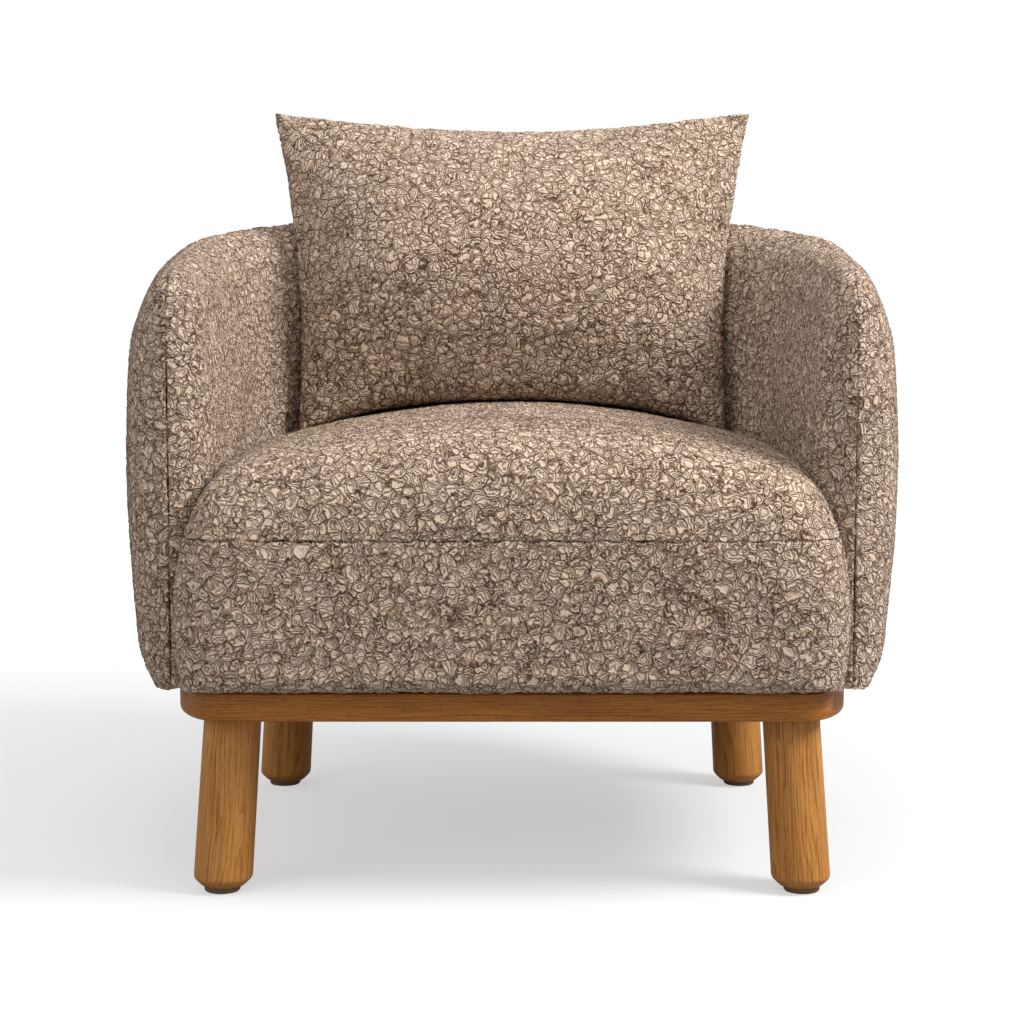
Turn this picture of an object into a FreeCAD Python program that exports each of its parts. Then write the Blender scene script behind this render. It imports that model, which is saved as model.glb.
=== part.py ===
import FreeCAD, Part
import math
import os

V = FreeCAD.Vector
os.makedirs("parts", exist_ok=True)

# Overall sizes in millimetres: the front faces -Y and the floor is Z = 0.
overall_width = 817.0
overall_depth = 740.0
arm_height = 616.0
shoulder_height = 639.0
back_height = 670.0
seat_height = 467.0
seat_seam_height = 359.0

# Oak plinth: a slab with long soft front corners and a round back.
plinth_underside = 178.0
plinth_thickness = 29.0
plinth_inset = 58.5
plinth_back_inset = 38.0
plinth_side_taper = 6.8
plinth_front_set_back = 27.0
plinth_corner_width = 53.0
plinth_corner_depth = 115.0
plinth_edge_round = 2.0

# Legs: round oak, splayed, with a bevelled foot on a small glide.
leg_top_radius = 28.5
leg_bottom_radius = 29.5
leg_splay_side = 11.5
leg_splay_depth = 12.4
front_leg_inset = 72.0
front_leg_set_back = 51.4
back_leg_inset = 91.0
back_leg_depth_share = 0.51
glide_radius = 18.0
glide_height = 5.0
foot_bevel_radius = 20.5
bolt_radius = 4.0
bolt_end_room = 2.0
bolt_in_leg = 42.0
bolt_in_plinth = plinth_thickness - 7.0
insert_radius = 6.0
insert_length = plinth_thickness - 6.0
glide_pin_radius = 2.5
glide_pin_length = 18.0
glide_edge = 1.5
screw_head_radius = 5.5
screw_head_height = 4.0
screw_head_room = 0.6
screw_shank_radius = 2.5
screw_length = 50.0
screw_recess = 12.0
fit = 0.15

# Upholstered wall: its middle line runs up one arm, round the back and down the other.
bend_centre_y = -10.0
bend_step = 22.5
nose_set_back = 45.0
nose_inset = 10.0
nose_length = 48.0
nose_drop = 42.0
nose_crest_lean = 12.0
wall_out_nose = 32.5
wall_out_side = 63.5
wall_out_back = 75.0
wall_in_nose = 38.0
wall_in_side = 62.0
wall_in_back = 95.0
wall_flank_rise = 46.0
wall_flank_drop = 100.0
wall_shoulder_drop = 24.0
wall_inner_drop = 52.0
wall_inner_mid_drop = 120.0
soft_gap = 0.8
seam_gap = 0.2

# Timber frame inside the wall.
board = 27.0
frame_out_side = 21.0
frame_out_back = 24.0
rail_height = 70.0
post_size = 28.0
arm_rail_top = 564.0
arm_rail_thick = 26.0
back_rail_top = 616.0
back_rail_thick = 28.0
post_angle_side = 30.0
post_angle_rear = 60.0
rail_joint_angle = 45.0
panel_thick = 4.0
corner_block = 46.0

# Straps, foam and covers.
strap_width = 50.0
strap_thick = 1.8
strap_gap = 0.15
strap_columns = 5
foam_gap = 0.6
foam_end_turn = 0.15
foam_out = 16.0
outer_foam_rise = 51.0
outer_foam_drop_side = 26.0
outer_foam_drop_back = 50.0
top_foam_side = 26.0
top_foam_back = 24.0
foam_in_side = 20.0
foam_in_back = 27.0
seat_foam_gap = 3.0
seat_foam_shoulder = 42.0
seat_nose_depth = 58.0
seat_nose_rise = 84.0
dust_cover_thick = 1.0
cover_thick = 12.0

# Loose back cushion: knife edges, pointed ears and hollow sides.
cushion_rake = 16.5
cushion_bottom_z = 429.0
cushion_bottom_y = 74.5
cushion_half_bottom = 243.0
cushion_half_waist = 241.0
cushion_waist_share = 0.36
cushion_half_top = 270.0
cushion_ear_height = 378.0
cushion_top_sag = 22.0
cushion_bottom_rise = 40.0
cushion_thick = 188.0
cushion_edge = 12.0
cushion_skin = 5.0
zip_half_length = 125.0
zip_width = 12.0
zip_thick = 1.0

# Worked out from the sizes above.
front_y = -overall_depth / 2
back_y = overall_depth / 2
plinth_top = plinth_underside + plinth_thickness
frame_bottom = plinth_top + 1.5
rail_top = frame_bottom + rail_height
mid_x = overall_width / 2 - wall_out_side
mid_back = back_y - wall_out_back - bend_centre_y
nose_y = front_y + nose_set_back
nose_x = mid_x - nose_inset
wall_bottom = plinth_top + 0.3
deck_bottom = rail_top + 2 * strap_thick + 3 * strap_gap + 0.2


def line(a, b):
    return Part.LineSegment(a, b).toShape()


def arc(a, b, c):
    return Part.Arc(a, b, c).toShape()


def on_bend(side, back, angle):
    """Point of the oval bend round the back; degrees run from +X towards +Y."""
    turn = math.radians(angle)
    return V(side * math.cos(turn), bend_centre_y + back * math.sin(turn), 0)


def bend_normal(angle):
    turn = math.radians(angle)
    return V(math.cos(turn) / mid_x, math.sin(turn) / mid_back, 0).normalize()


def normal_turn(angle):
    normal = bend_normal(angle)
    return math.degrees(math.atan2(normal.y, normal.x))


def bend_arcs(side, back, start, end):
    """Stretch of the oval bend as circular arcs that meet at fixed angles."""
    marks = [step * bend_step for step in range(int(180 / bend_step) + 1)]
    stops = [start] + [mark for mark in marks if start < mark < end] + [end]
    return [
        arc(on_bend(side, back, a), on_bend(side, back, (a + b) / 2), on_bend(side, back, b))
        for a, b in zip(stops, stops[1:])
    ]


def prism(edges, z0, z1):
    face = Part.Face(Part.Wire(Part.__sortEdges__(edges)))
    face.translate(V(0, 0, z0))
    return face.extrude(V(0, 0, z1 - z0))


def polygon_prism(points, z0, z1):
    wire = Part.makePolygon([V(x, y, z0) for x, y in points + points[:1]])
    return Part.Face(wire).extrude(V(0, 0, z1 - z0))


def box(x0, x1, y0, y1, z0, z1):
    return Part.makeBox(x1 - x0, y1 - y0, z1 - z0, V(x0, y0, z0))


def mirrored(shape):
    return shape.mirror(V(0, 0, 0), V(1, 0, 0))


def write(name, shape):
    solids = shape.Solids
    whole = solids[0] if len(solids) == 1 else Part.makeCompound(solids)
    whole.exportStep("parts/" + name + ".step")
    return whole


def write_pair(name, right_shape):
    write(name + "_right", right_shape)
    write(name + "_left", mirrored(right_shape))


# The upholstered wall

def arm_station(along):
    """Middle line, outward normal and sizes of the wall on the right arm, from 0 at the nose to 1."""
    y = nose_y + along * (bend_centre_y - nose_y)
    x = mid_x - nose_inset * (1 - along) ** 2
    slope = 2 * nose_inset * (1 - along) / (bend_centre_y - nose_y)
    normal = V(1, -slope, 0).normalize()
    out = wall_out_side - (wall_out_side - wall_out_nose) * (1 - along) ** 2
    inner = wall_in_side - (wall_in_side - wall_in_nose) * (1 - along) ** 1.5
    crest = arm_height + (shoulder_height - arm_height) * along
    from_tip = along * (bend_centre_y - nose_y)
    swell = 1.0
    if from_tip < nose_length:
        swell = max(0.22, math.sqrt(1 - (1 - from_tip / nose_length) ** 2))
    return {
        "point": V(x, y, 0),
        "normal": normal,
        "out": out * swell,
        "in": inner * swell,
        "crest": crest - nose_drop * (1 - swell),
        "lean": -nose_crest_lean * (1 - along) * swell,
        "bottom": wall_bottom + 10 * (1 - swell),
    }


def back_station(angle):
    """The same on the round back, by the angle from the right shoulder."""
    round_share = math.sin(math.radians(angle))
    return {
        "point": on_bend(mid_x, mid_back, angle),
        "normal": bend_normal(angle),
        "out": wall_out_side + (wall_out_back - wall_out_side) * round_share**2,
        "in": wall_in_side + (wall_in_back - wall_in_side) * round_share**4,
        "crest": shoulder_height + (back_height - shoulder_height) * round_share**1.2,
        "lean": 0.0,
        "bottom": wall_bottom,
    }


def flipped(station):
    other = dict(station)
    other["point"] = V(-station["point"].x, station["point"].y, 0)
    other["normal"] = V(-station["normal"].x, station["normal"].y, 0)
    return other


def wall_section(station, grow):
    """Closed outline across the wall: rolled foot, full flank, round crest and sloping inside."""
    out = station["out"] + grow
    inner = station["in"] + grow
    top = station["crest"] + grow
    low = station["bottom"] - grow
    widest = low + 0.55 * (top - low)

    def at(n, z):
        return station["point"] + station["normal"] * n + V(0, 0, z)

    foot = at(0.36 * out, low)
    flank_low = at(0.81 * out, low + wall_flank_rise)
    flank_high = at(0.92 * out, top - wall_flank_drop)
    shoulder = at(0.46 * out, top - wall_shoulder_drop)
    crest = at(station["lean"], top)
    inner_high = at(-0.70 * inner, top - wall_inner_drop)
    inner_low = at(-inner, widest - 45)
    inner_foot = at(-inner, low)
    return Part.Wire([
        arc(foot, at(0.65 * out, low + 13), flank_low),
        arc(flank_low, at(out, widest), flank_high),
        arc(flank_high, at(0.76 * out, top - 60), shoulder),
        arc(shoulder, at(0.5 * (0.46 * out + station["lean"]) + 2, top - 6), crest),
        arc(crest, at(0.45 * station["lean"] - 0.41 * inner, top - 14), inner_high),
        arc(inner_high, at(-0.88 * inner, top - wall_inner_mid_drop), inner_low),
        line(inner_low, inner_foot),
        line(inner_foot, foot),
    ])


def wall_form(grow=0.0):
    """The whole wraparound wall from nose to nose, lofted through its cross-sections."""
    reach = bend_centre_y - nose_y
    steps = [nose_length * share for share in (0.0, 0.08, 0.24, 0.5, 1.0)]
    steps += [nose_length + (reach - nose_length) * share for share in (0.33, 0.67)]
    right = [arm_station(step / reach) for step in steps]
    right += [back_station(angle) for angle in (1, 15, 28, 41, 53, 65, 77)]
    stations = [flipped(s) for s in right] + [back_station(90)] + right[::-1]
    return Part.makeLoft([wall_section(s, grow) for s in stations], True, True)


def middle_prism(grow):
    """Everything inside the wall's middle line, which is where its cover is sewn."""
    right_tip = V(nose_x + grow, nose_y, 0)
    right_half = arm_station(0.5)["point"] + V(grow, 0, 0)
    right_end = V(mid_x + grow, bend_centre_y, 0)
    far = nose_y - 80
    edges = [
        line(V(right_tip.x, far, 0), right_tip),
        arc(right_tip, right_half, right_end),
        *bend_arcs(mid_x + grow, mid_back + grow, 0, 180),
        arc(V(-right_end.x, right_end.y, 0), V(-right_half.x, right_half.y, 0), V(-right_tip.x, nose_y, 0)),
        line(V(-right_tip.x, nose_y, 0), V(-right_tip.x, far, 0)),
        line(V(-right_tip.x, far, 0), V(right_tip.x, far, 0)),
    ]
    return prism(edges, plinth_top - 60, back_height + 60)


# Bands that follow the wall: each has its half sizes at the bend and at the arm's front end.

def band(outer, inner, z0, z1, from_y, to_angle):
    """Right-hand band from the arm's front to an angle on the back; outer and inner are
    (side, back, front) distances from the middle line and the bend."""
    outer_side, outer_back, outer_front = outer
    inner_side, inner_back, inner_front = inner
    edges = [
        line(V(inner_front, from_y, 0), V(outer_front, from_y, 0)),
        line(V(outer_front, from_y, 0), V(outer_side, bend_centre_y, 0)),
        *bend_arcs(outer_side, outer_back, 0, to_angle),
        line(on_bend(outer_side, outer_back, to_angle), on_bend(inner_side, inner_back, to_angle)),
        *bend_arcs(inner_side, inner_back, 0, to_angle),
        line(V(inner_side, bend_centre_y, 0), V(inner_front, from_y, 0)),
    ]
    return prism(edges, z0, z1)


def back_band(outer, inner, z0, z1, angle):
    """Band round the back between one angle and its mirror image."""
    edges = [
        *bend_arcs(outer[0], outer[1], angle, 180 - angle),
        line(on_bend(outer[0], outer[1], 180 - angle), on_bend(inner[0], inner[1], 180 - angle)),
        *bend_arcs(inner[0], inner[1], angle, 180 - angle),
        line(on_bend(inner[0], inner[1], angle), on_bend(outer[0], outer[1], angle)),
    ]
    return prism(edges, z0, z1)


post_x = nose_x + post_size / 2
post_front = nose_y + 17.0
post_back = post_front + post_size
frame_outer = (mid_x + frame_out_side, mid_back + frame_out_back, post_x)
frame_inner = (frame_outer[0] - board, frame_outer[1] - board, post_x - board)
arm_rail_bottom = arm_rail_top - arm_rail_thick
back_rail_bottom = back_rail_top - back_rail_thick


def shifted(sizes, by):
    return tuple(size + by for size in sizes)


def side_rail():
    return band(frame_outer, frame_inner, frame_bottom, rail_top, post_back + fit, rail_joint_angle)


def back_rail():
    return back_band(frame_outer, frame_inner, frame_bottom, rail_top, rail_joint_angle + 0.05)


def front_rail():
    half = post_x - post_size - fit
    return box(-half, half, post_front, post_back, frame_bottom, rail_top)


def front_post():
    return box(post_x - post_size, post_x, post_front, post_back, frame_bottom, arm_rail_bottom - fit)


def band_post(angle, z0, z1):
    """Upright inside the band, turned square to it."""
    middle = on_bend(mid_x + frame_out_side - board / 2, mid_back + frame_out_back - board / 2, angle)
    thick = board - 3
    post = box(-thick / 2, thick / 2, -post_size / 2, post_size / 2, z0, z1)
    post.rotate(V(0, 0, 0), V(0, 0, 1), normal_turn(angle))
    post.translate(middle)
    return post


def arm_rail():
    end = post_angle_side - 4
    rail = band(frame_outer, frame_inner, arm_rail_bottom, arm_rail_top, post_front, end)
    return rail.cut(side_post_space())


def side_post_space():
    grown = band_post(post_angle_side, rail_top, back_rail_bottom)
    return grown.makeOffsetShape(fit, 0.01, join=2)


def back_top_rail():
    return back_band(frame_outer, frame_inner, back_rail_bottom, back_rail_top, post_angle_side - 6)


def arm_panel():
    outer = shifted(frame_inner, -foam_gap)
    inner = shifted(outer, -panel_thick)
    return band(outer, inner, deck_bottom + 0.5, arm_rail_top, post_back, post_angle_side - 5)


def corner_blocks():
    """Triangular glue blocks at the front corners and splice blocks behind the rear joints."""
    x1 = post_x - post_size - 2
    y0 = post_back + fit
    z0 = frame_bottom + 5
    z1 = rail_top - 8
    triangle = [(x1, y0), (x1, y0 + corner_block), (x1 - corner_block, y0)]
    front_block = polygon_prism(triangle, z0, z1)
    joint = on_bend(frame_inner[0], frame_inner[1], rail_joint_angle)
    half = corner_block / 2
    splice = box(-26, -2.4, -half, half, z0, z1)
    splice.rotate(V(0, 0, 0), V(0, 0, 1), math.degrees(math.atan2(joint.y - bend_centre_y, joint.x)) + 3)
    splice.translate(joint)
    for rail in (side_rail(), back_rail()):
        if splice.common(rail).Volume > 0.001:
            splice = splice.cut(rail)
    right_blocks = [front_block, splice]
    return Part.makeCompound(right_blocks + [mirrored(b) for b in right_blocks])


# Straps

def woven_strap(start, end, crossings):
    """Strap profile along its run: over or under each crossing strap, lying low at both ends.
    crossings is a list of (position, over)."""
    low = rail_top + strap_gap
    high = low + strap_thick + 2 * strap_gap
    flat = strap_width / 2 + 3
    under_line = [(start, low)]
    for position, over in crossings:
        if position + flat > end:
            break
        level = high if over else low
        under_line += [(position - flat, level), (position + flat, level)]
    under_line.append((end, low))
    over_line = [(s, z + strap_thick) for s, z in under_line]
    return under_line + over_line[::-1]


def band_middle_x(y):
    """Where the frame band's middle stands beside a strap that crosses at y."""
    side = mid_x + frame_out_side - board / 2
    front_side = post_x - board / 2
    if y < bend_centre_y:
        share = (y - post_front) / (bend_centre_y - post_front)
        return front_side + (side - front_side) * share
    rise = (y - bend_centre_y) / (mid_back + frame_out_back - board / 2)
    return side * math.sqrt(1 - rise**2)


def band_middle_y(x):
    side = mid_x + frame_out_side - board / 2
    return bend_centre_y + (mid_back + frame_out_back - board / 2) * math.sqrt(1 - (x / side) ** 2)


strap_pitch_x = 0.32 * mid_x
strap_xs = [strap_pitch_x * (i - (strap_columns - 1) / 2) for i in range(strap_columns)]
deck_reach = bend_centre_y - nose_y
strap_ys = [nose_y + deck_reach * share for share in (0.25, 0.52, 0.79, 1.06, 1.33)]
strap_ys.append(bend_centre_y + 0.60 * mid_back)


def seat_webbing_lengthwise():
    straps = []
    for i, x in enumerate(strap_xs):
        edge = abs(x) + strap_width / 2
        run_end = band_middle_y(edge) + 3
        rows = [(y, (i + j) % 2 == 0) for j, y in enumerate(strap_ys)]
        outline = woven_strap(post_front + 3, run_end, rows)
        wire = Part.makePolygon([V(x - strap_width / 2, y, z) for y, z in outline + outline[:1]])
        straps.append(Part.Face(wire).extrude(V(strap_width, 0, 0)))
    return Part.makeCompound(straps)


def seat_webbing_crosswise():
    straps = []
    for j, y in enumerate(strap_ys):
        half = min(band_middle_x(y - strap_width / 2), band_middle_x(y + strap_width / 2))
        if y < bend_centre_y:
            half = band_middle_x(y - strap_width / 2) + 3
        columns = [(x, (i + j) % 2 == 1) for i, x in enumerate(strap_xs)]
        outline = woven_strap(-half, half, columns)
        wire = Part.makePolygon([V(x, y - strap_width / 2, z) for x, z in outline + outline[:1]])
        straps.append(Part.Face(wire).extrude(V(0, strap_width, 0)))
    return Part.makeCompound(straps)


def back_webbing():
    """Upright straps stapled inside the back, from the seat rail to the top rail."""
    straps = []
    for angle in (47, 72, 90, 108, 133):
        foot = on_bend(frame_inner[0], frame_inner[1], angle)
        strap = box(-1.3 - strap_thick, -1.3, -strap_width / 2, strap_width / 2, deck_bottom + 1, back_rail_top - 4)
        strap.rotate(V(0, 0, 0), V(0, 0, 1), normal_turn(angle))
        strap.translate(foot)
        straps.append(strap)
    return Part.makeCompound(straps)


# Foam inside and outside the frame

foam_seat_side = shifted(frame_inner, -foam_gap - panel_thick - 1.2)
foam_face = (
    mid_x - wall_in_side + foam_in_side,
    mid_back - wall_in_back + foam_in_back,
    nose_x - wall_in_nose + cover_thick,
)


def foam_start(grow):
    """The back's foams begin a little past the rail joint, and the space for them right at it."""
    return rail_joint_angle + foam_end_turn * (1 - grow / foam_gap)


def inner_foam(grow=0.0):
    """Upright foam against the frame's inner side: right arm and back."""
    outer = shifted(foam_seat_side, grow)
    inner = shifted(foam_face, -grow)
    z0 = deck_bottom + 1.5 - grow
    arm = band(outer, inner, z0, arm_rail_top + grow, post_back + 3 - grow, rail_joint_angle)
    back = back_band(outer, inner, z0, back_rail_top - 16 + grow, foam_start(grow))
    return arm, back


def outer_foam(grow=0.0):
    inner = shifted(frame_outer, foam_gap - grow)
    outer = (
        mid_x + wall_out_side - foam_out + grow,
        mid_back + wall_out_back - foam_out + grow,
        nose_x + 0.9 * wall_out_nose + grow,
    )
    z0 = plinth_top + outer_foam_rise - grow
    arm_top = arm_rail_top - outer_foam_drop_side + grow
    arm = band(outer, inner, z0, arm_top, post_back + 6 - grow, rail_joint_angle)
    back = back_band(outer, inner, z0, back_rail_top - outer_foam_drop_back + grow, foam_start(grow))
    return arm, back


def top_roll(grow=0.0):
    """Foam strip that lies on the top rails under the crest."""
    outer = shifted(frame_outer, -3 + grow)
    inner = shifted(frame_inner, 1 - grow)
    z0 = arm_rail_top + foam_gap - grow
    z1 = arm_rail_top + top_foam_side + grow
    arm = band(outer, inner, z0, z1, post_back - 8 - grow, post_angle_side - 7 + grow / 10)
    z0 = back_rail_top + foam_gap - grow
    start = post_angle_side - 6 - grow / 10
    back = back_band(outer, inner, z0, back_rail_top + top_foam_back + grow, start)
    return arm, back


def wall_core():
    """All that the cover goes round, grown by the foam's clearance."""
    g = foam_gap
    pieces = []
    right = [
        band(shifted(frame_outer, g), shifted(frame_inner, -g - panel_thick - 2),
             plinth_top - 20, arm_rail_top + g, post_front - g, rail_joint_angle),
        front_post_core(),
    ]
    right += [inner_foam(g)[0], outer_foam(g)[0], top_roll(g)[0]]
    pieces += right + [mirrored(piece) for piece in right]
    pieces.append(back_band(
        shifted(frame_outer, g), shifted(frame_inner, -g - panel_thick - 2),
        plinth_top - 20, back_rail_top + g, bend_step,
    ))
    pieces += [inner_foam(g)[1], outer_foam(g)[1], top_roll(g)[1]]
    return pieces


def front_post_core():
    g = foam_gap
    return box(post_x - post_size - g, post_x + g, post_front - g, post_back + 4, plinth_top - 20, arm_rail_top)


# Seat

seat_half = nose_x - 2.0
seat_stations = [
    (front_y, 0.815, 96.0, 18.0),
    (front_y + 2, 0.885, 80.0, 11.0),
    (front_y + 6, 0.930, 60.0, 6.0),
    (front_y + 14, 0.965, 40.0, 2.5),
    (front_y + 25, 0.985, 26.0, 0.5),
    (front_y + 40, 0.996, 15.0, 0.0),
    (front_y + 62, 1.0, 7.0, 0.0),
    (front_y + 92, 1.0, 2.0, 0.0),
    (front_y + 135, 1.0, 0.0, 0.0),
    (bend_centre_y - 60, 0.97, 0.0, 0.0),
    (bend_centre_y + 90, 0.86, 5.0, 0.0),
    (bend_centre_y + mid_back - 80, 0.62, 8.0, 0.0),
]


def seat_section(y, width_share, drop, lift):
    """Arch across the seat: upright sides, round shoulders and a broad dome."""
    half = seat_half * width_share
    top = seat_height - drop
    low = wall_bottom + lift
    side_z = low + 0.58 * (top - low)
    shoulder_z = top - 42 * width_share
    mid_z = 0.5 * (side_z + shoulder_z)

    def at(x, z):
        return V(x, y, z)

    return Part.Wire([
        line(at(-half + 8, low), at(half - 8, low)),
        arc(at(half - 8, low), at(half, low + 0.36 * (top - low)), at(half - 8, side_z)),
        arc(at(half - 8, side_z), at(half - 20, mid_z), at(half - 40, shoulder_z)),
        arc(at(half - 40, shoulder_z), at(0, top), at(40 - half, shoulder_z)),
        arc(at(40 - half, shoulder_z), at(20 - half, mid_z), at(8 - half, side_z)),
        arc(at(8 - half, side_z), at(-half, low + 0.36 * (top - low)), at(8 - half, low)),
    ])


def seat_form():
    return Part.makeLoft([seat_section(*station) for station in seat_stations], True, True)


def foam_arch(half, top, y0, y1, z0):
    """Block with a domed top, running front to back."""
    edge_z = top - seat_foam_shoulder
    edges = [
        line(V(-half, y0, z0), V(half, y0, z0)),
        line(V(half, y0, z0), V(half, y0, edge_z)),
        arc(V(half, y0, edge_z), V(0, y0, top), V(-half, y0, edge_z)),
        line(V(-half, y0, edge_z), V(-half, y0, z0)),
    ]
    return Part.Face(Part.Wire(edges)).extrude(V(0, y1 - y0, 0))


def seat_foam_plan(grow):
    gap = seat_foam_gap - grow
    side = mid_x - wall_in_side - gap
    back = mid_back - wall_in_back - gap
    front = nose_x - wall_in_nose - 8 - gap
    edges = [
        line(V(front, front_y - 20, 0), V(side, bend_centre_y, 0)),
        *bend_arcs(side, back, 0, 180),
        line(V(-side, bend_centre_y, 0), V(-front, front_y - 20, 0)),
        line(V(-front, front_y - 20, 0), V(front, front_y - 20, 0)),
    ]
    return prism(edges, plinth_top - 20, seat_height + 60)


def foam_side_profile(grow):
    """Side view of both seat foams: upright front, round front edge, level top."""
    y0 = front_y + cover_thick - grow
    top = seat_height + 20
    z0 = plinth_top - 20
    bend_z = seat_seam_height - 5 + grow
    end = back_y
    edges = [
        line(V(0, y0, z0), V(0, y0, bend_z)),
        arc(V(0, y0, bend_z), V(0, y0 + 16, bend_z + 48), V(0, y0 + seat_nose_depth, bend_z + seat_nose_rise)),
        line(V(0, y0 + seat_nose_depth, bend_z + seat_nose_rise), V(0, y0 + 90, top)),
        line(V(0, y0 + 90, top), V(0, end, top)),
        line(V(0, end, top), V(0, end, z0)),
        line(V(0, end, z0), V(0, y0, z0)),
    ]
    face = Part.Face(Part.Wire(edges))
    face.translate(V(-overall_width / 2, 0, 0))
    return face.extrude(V(overall_width, 0, 0))


def seat_foams(grow=0.0):
    half = nose_x - wall_in_nose - 9 + grow
    top = seat_height - cover_thick - 6 + grow
    master = foam_arch(half, top, front_y, back_y, plinth_top - 20)
    master = master.common(foam_side_profile(grow)).common(seat_foam_plan(grow))
    front_end = post_front - 1.0
    front = master.common(box(-half - 9, half + 9, front_y, front_end + grow, frame_bottom + 4 - grow, top + 9))
    deck = master.common(box(-half - 9, half + 9, front_end + 0.4 - grow, back_y, deck_bottom + 0.3 - grow, top + 9))
    return front, deck


# Base

def plinth_outline(inset):
    """Straight front, long elliptical corners, sides that open gently and a round back."""
    half = mid_x + wall_out_side - plinth_inset - inset
    back = mid_back + wall_out_back - plinth_back_inset - inset
    front = front_y + plinth_front_set_back + inset
    corner_a = plinth_corner_width - inset
    corner_b = plinth_corner_depth - inset
    taper = math.radians(plinth_side_taper)
    join = math.atan(math.tan(taper) * corner_b / corner_a)
    join_y = front + corner_b * (1 - math.sin(join))
    join_x = half - (bend_centre_y - join_y) * math.tan(taper / 2)
    centre = V(join_x - corner_a * math.cos(join), front + corner_b, 0)
    corner = Part.Ellipse(centre - V(0, corner_b, 0), centre + V(corner_a, 0, 0), centre)
    right_corner = corner.toShape(0, math.pi / 2 - join)
    radius = (bend_centre_y - join_y) / math.sin(taper)
    bow = V(half - radius * (1 - math.cos(taper / 2)), bend_centre_y - radius * math.sin(taper / 2), 0)
    right_side = arc(V(join_x, join_y, 0), bow, V(half, bend_centre_y, 0))
    return [
        line(V(-centre.x, front, 0), V(centre.x, front, 0)),
        right_corner,
        right_side,
        *bend_arcs(half, back, 0, 180),
        mirrored(right_side),
        mirrored(right_corner),
    ]


def leg_tops():
    half = mid_x + wall_out_side - plinth_inset
    back = mid_back + wall_out_back - plinth_back_inset
    front_leg = V(half - front_leg_inset, front_y + plinth_front_set_back + front_leg_set_back, plinth_underside)
    back_leg = V(half - back_leg_inset, bend_centre_y + back_leg_depth_share * back, plinth_underside)
    return front_leg, back_leg


def leg_axis(forward):
    """Unit vector up a right-hand leg: the foot stands out to the side and forward or back."""
    depth = leg_splay_depth if forward else -leg_splay_depth
    return V(-leg_splay_side, depth, plinth_underside).normalize()


def leg_set(top, forward):
    """Leg, bolt, insert and glide of one right-hand corner, and the cutters for what holds them."""
    axis = leg_axis(forward)
    foot = top - axis * (plinth_underside / axis.z)

    def level_circle(z, radius):
        centre = foot + axis * (z / axis.z)
        return Part.Wire(Part.makeCircle(radius, centre, V(0, 0, 1)))

    bevel = leg_bottom_radius - foot_bevel_radius
    ends = [
        level_circle(glide_height + bevel, leg_bottom_radius),
        level_circle(plinth_underside, leg_top_radius),
    ]
    toe_place = foot + axis * ((glide_height + bevel) / axis.z) - V(0, 0, bevel)
    toe = Part.makeCone(foot_bevel_radius, leg_bottom_radius, bevel, toe_place)
    leg = Part.makeLoft(ends, True, True).fuse(toe)
    bolt_start = top - axis * bolt_in_leg
    bolt = Part.makeCylinder(bolt_radius, bolt_in_leg + bolt_in_plinth, bolt_start, axis)
    bolt_hole = Part.makeCylinder(
        bolt_radius + fit, bolt_in_leg + 2 * bolt_end_room, bolt_start - axis * bolt_end_room, axis
    )
    pin = Part.makeCylinder(glide_pin_radius, glide_pin_length + 1, V(foot.x, foot.y, glide_height - 1))
    pin_hole = Part.makeCylinder(glide_pin_radius + fit, glide_pin_length + 2, V(foot.x, foot.y, glide_height - 1))
    pad = Part.makeCone(glide_radius - glide_edge, glide_radius, glide_edge, V(foot.x, foot.y, 0))
    rest = Part.makeCylinder(glide_radius, glide_height - glide_edge, V(foot.x, foot.y, glide_edge))
    pad = pad.fuse(rest)
    glide = pad.fuse(pin).removeSplitter()
    leg = leg.cut(bolt_hole).cut(pin_hole)
    seat = top + axis * 1.0
    insert = Part.makeCylinder(insert_radius, insert_length, seat, axis)
    insert = insert.cut(Part.makeCylinder(bolt_radius + fit, insert_length + 6, seat - axis * 3, axis))
    socket = Part.makeCylinder(insert_radius + fit, insert_length + 4, top - axis * 3, axis)
    return {"leg": leg, "bolt": bolt, "insert": insert, "glide": glide, "socket": socket, "foot": foot}


def screw_places():
    """Right-hand screws up through the plinth into the front and back rails."""
    rail_y = 0.5 * (post_front + post_back)
    side = mid_x + frame_out_side - board / 2
    back = mid_back + frame_out_back - board / 2
    return [
        V(0.25 * mid_x, rail_y, 0),
        V(0.67 * mid_x, rail_y, 0),
        on_bend(side, back, 62),
        on_bend(side, back, 82),
    ]


def base_screw(place):
    """Pan-head screw from a recess under the plinth into a rail."""
    seat = V(place.x, place.y, plinth_underside + screw_recess)
    head = Part.makeCylinder(screw_head_radius, screw_head_height, seat - V(0, 0, screw_head_height))
    shank = Part.makeCylinder(screw_shank_radius, screw_length, seat - V(0, 0, 0.5))
    return head.fuse(shank).removeSplitter()


def screw_hole(place):
    """Recess open at the plinth's underside, with the hole above it."""
    below = V(place.x, place.y, plinth_underside - 1)
    recess = Part.makeCylinder(screw_head_radius + screw_head_room, screw_recess + 1, below)
    drill = Part.makeCylinder(screw_shank_radius + fit, screw_length + screw_recess + 1 + fit, below)
    return recess.fuse(drill).removeSplitter()


# Cushion

rake = math.radians(cushion_rake)
cushion_up = V(0, math.sin(rake), math.cos(rake))
cushion_front = V(0, -math.cos(rake), math.sin(rake))
cushion_origin = V(0, cushion_bottom_y, cushion_bottom_z)


def on_cushion(x, up, forward=0.0):
    return cushion_origin + V(x, 0, 0) + cushion_up * up + cushion_front * forward


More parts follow.
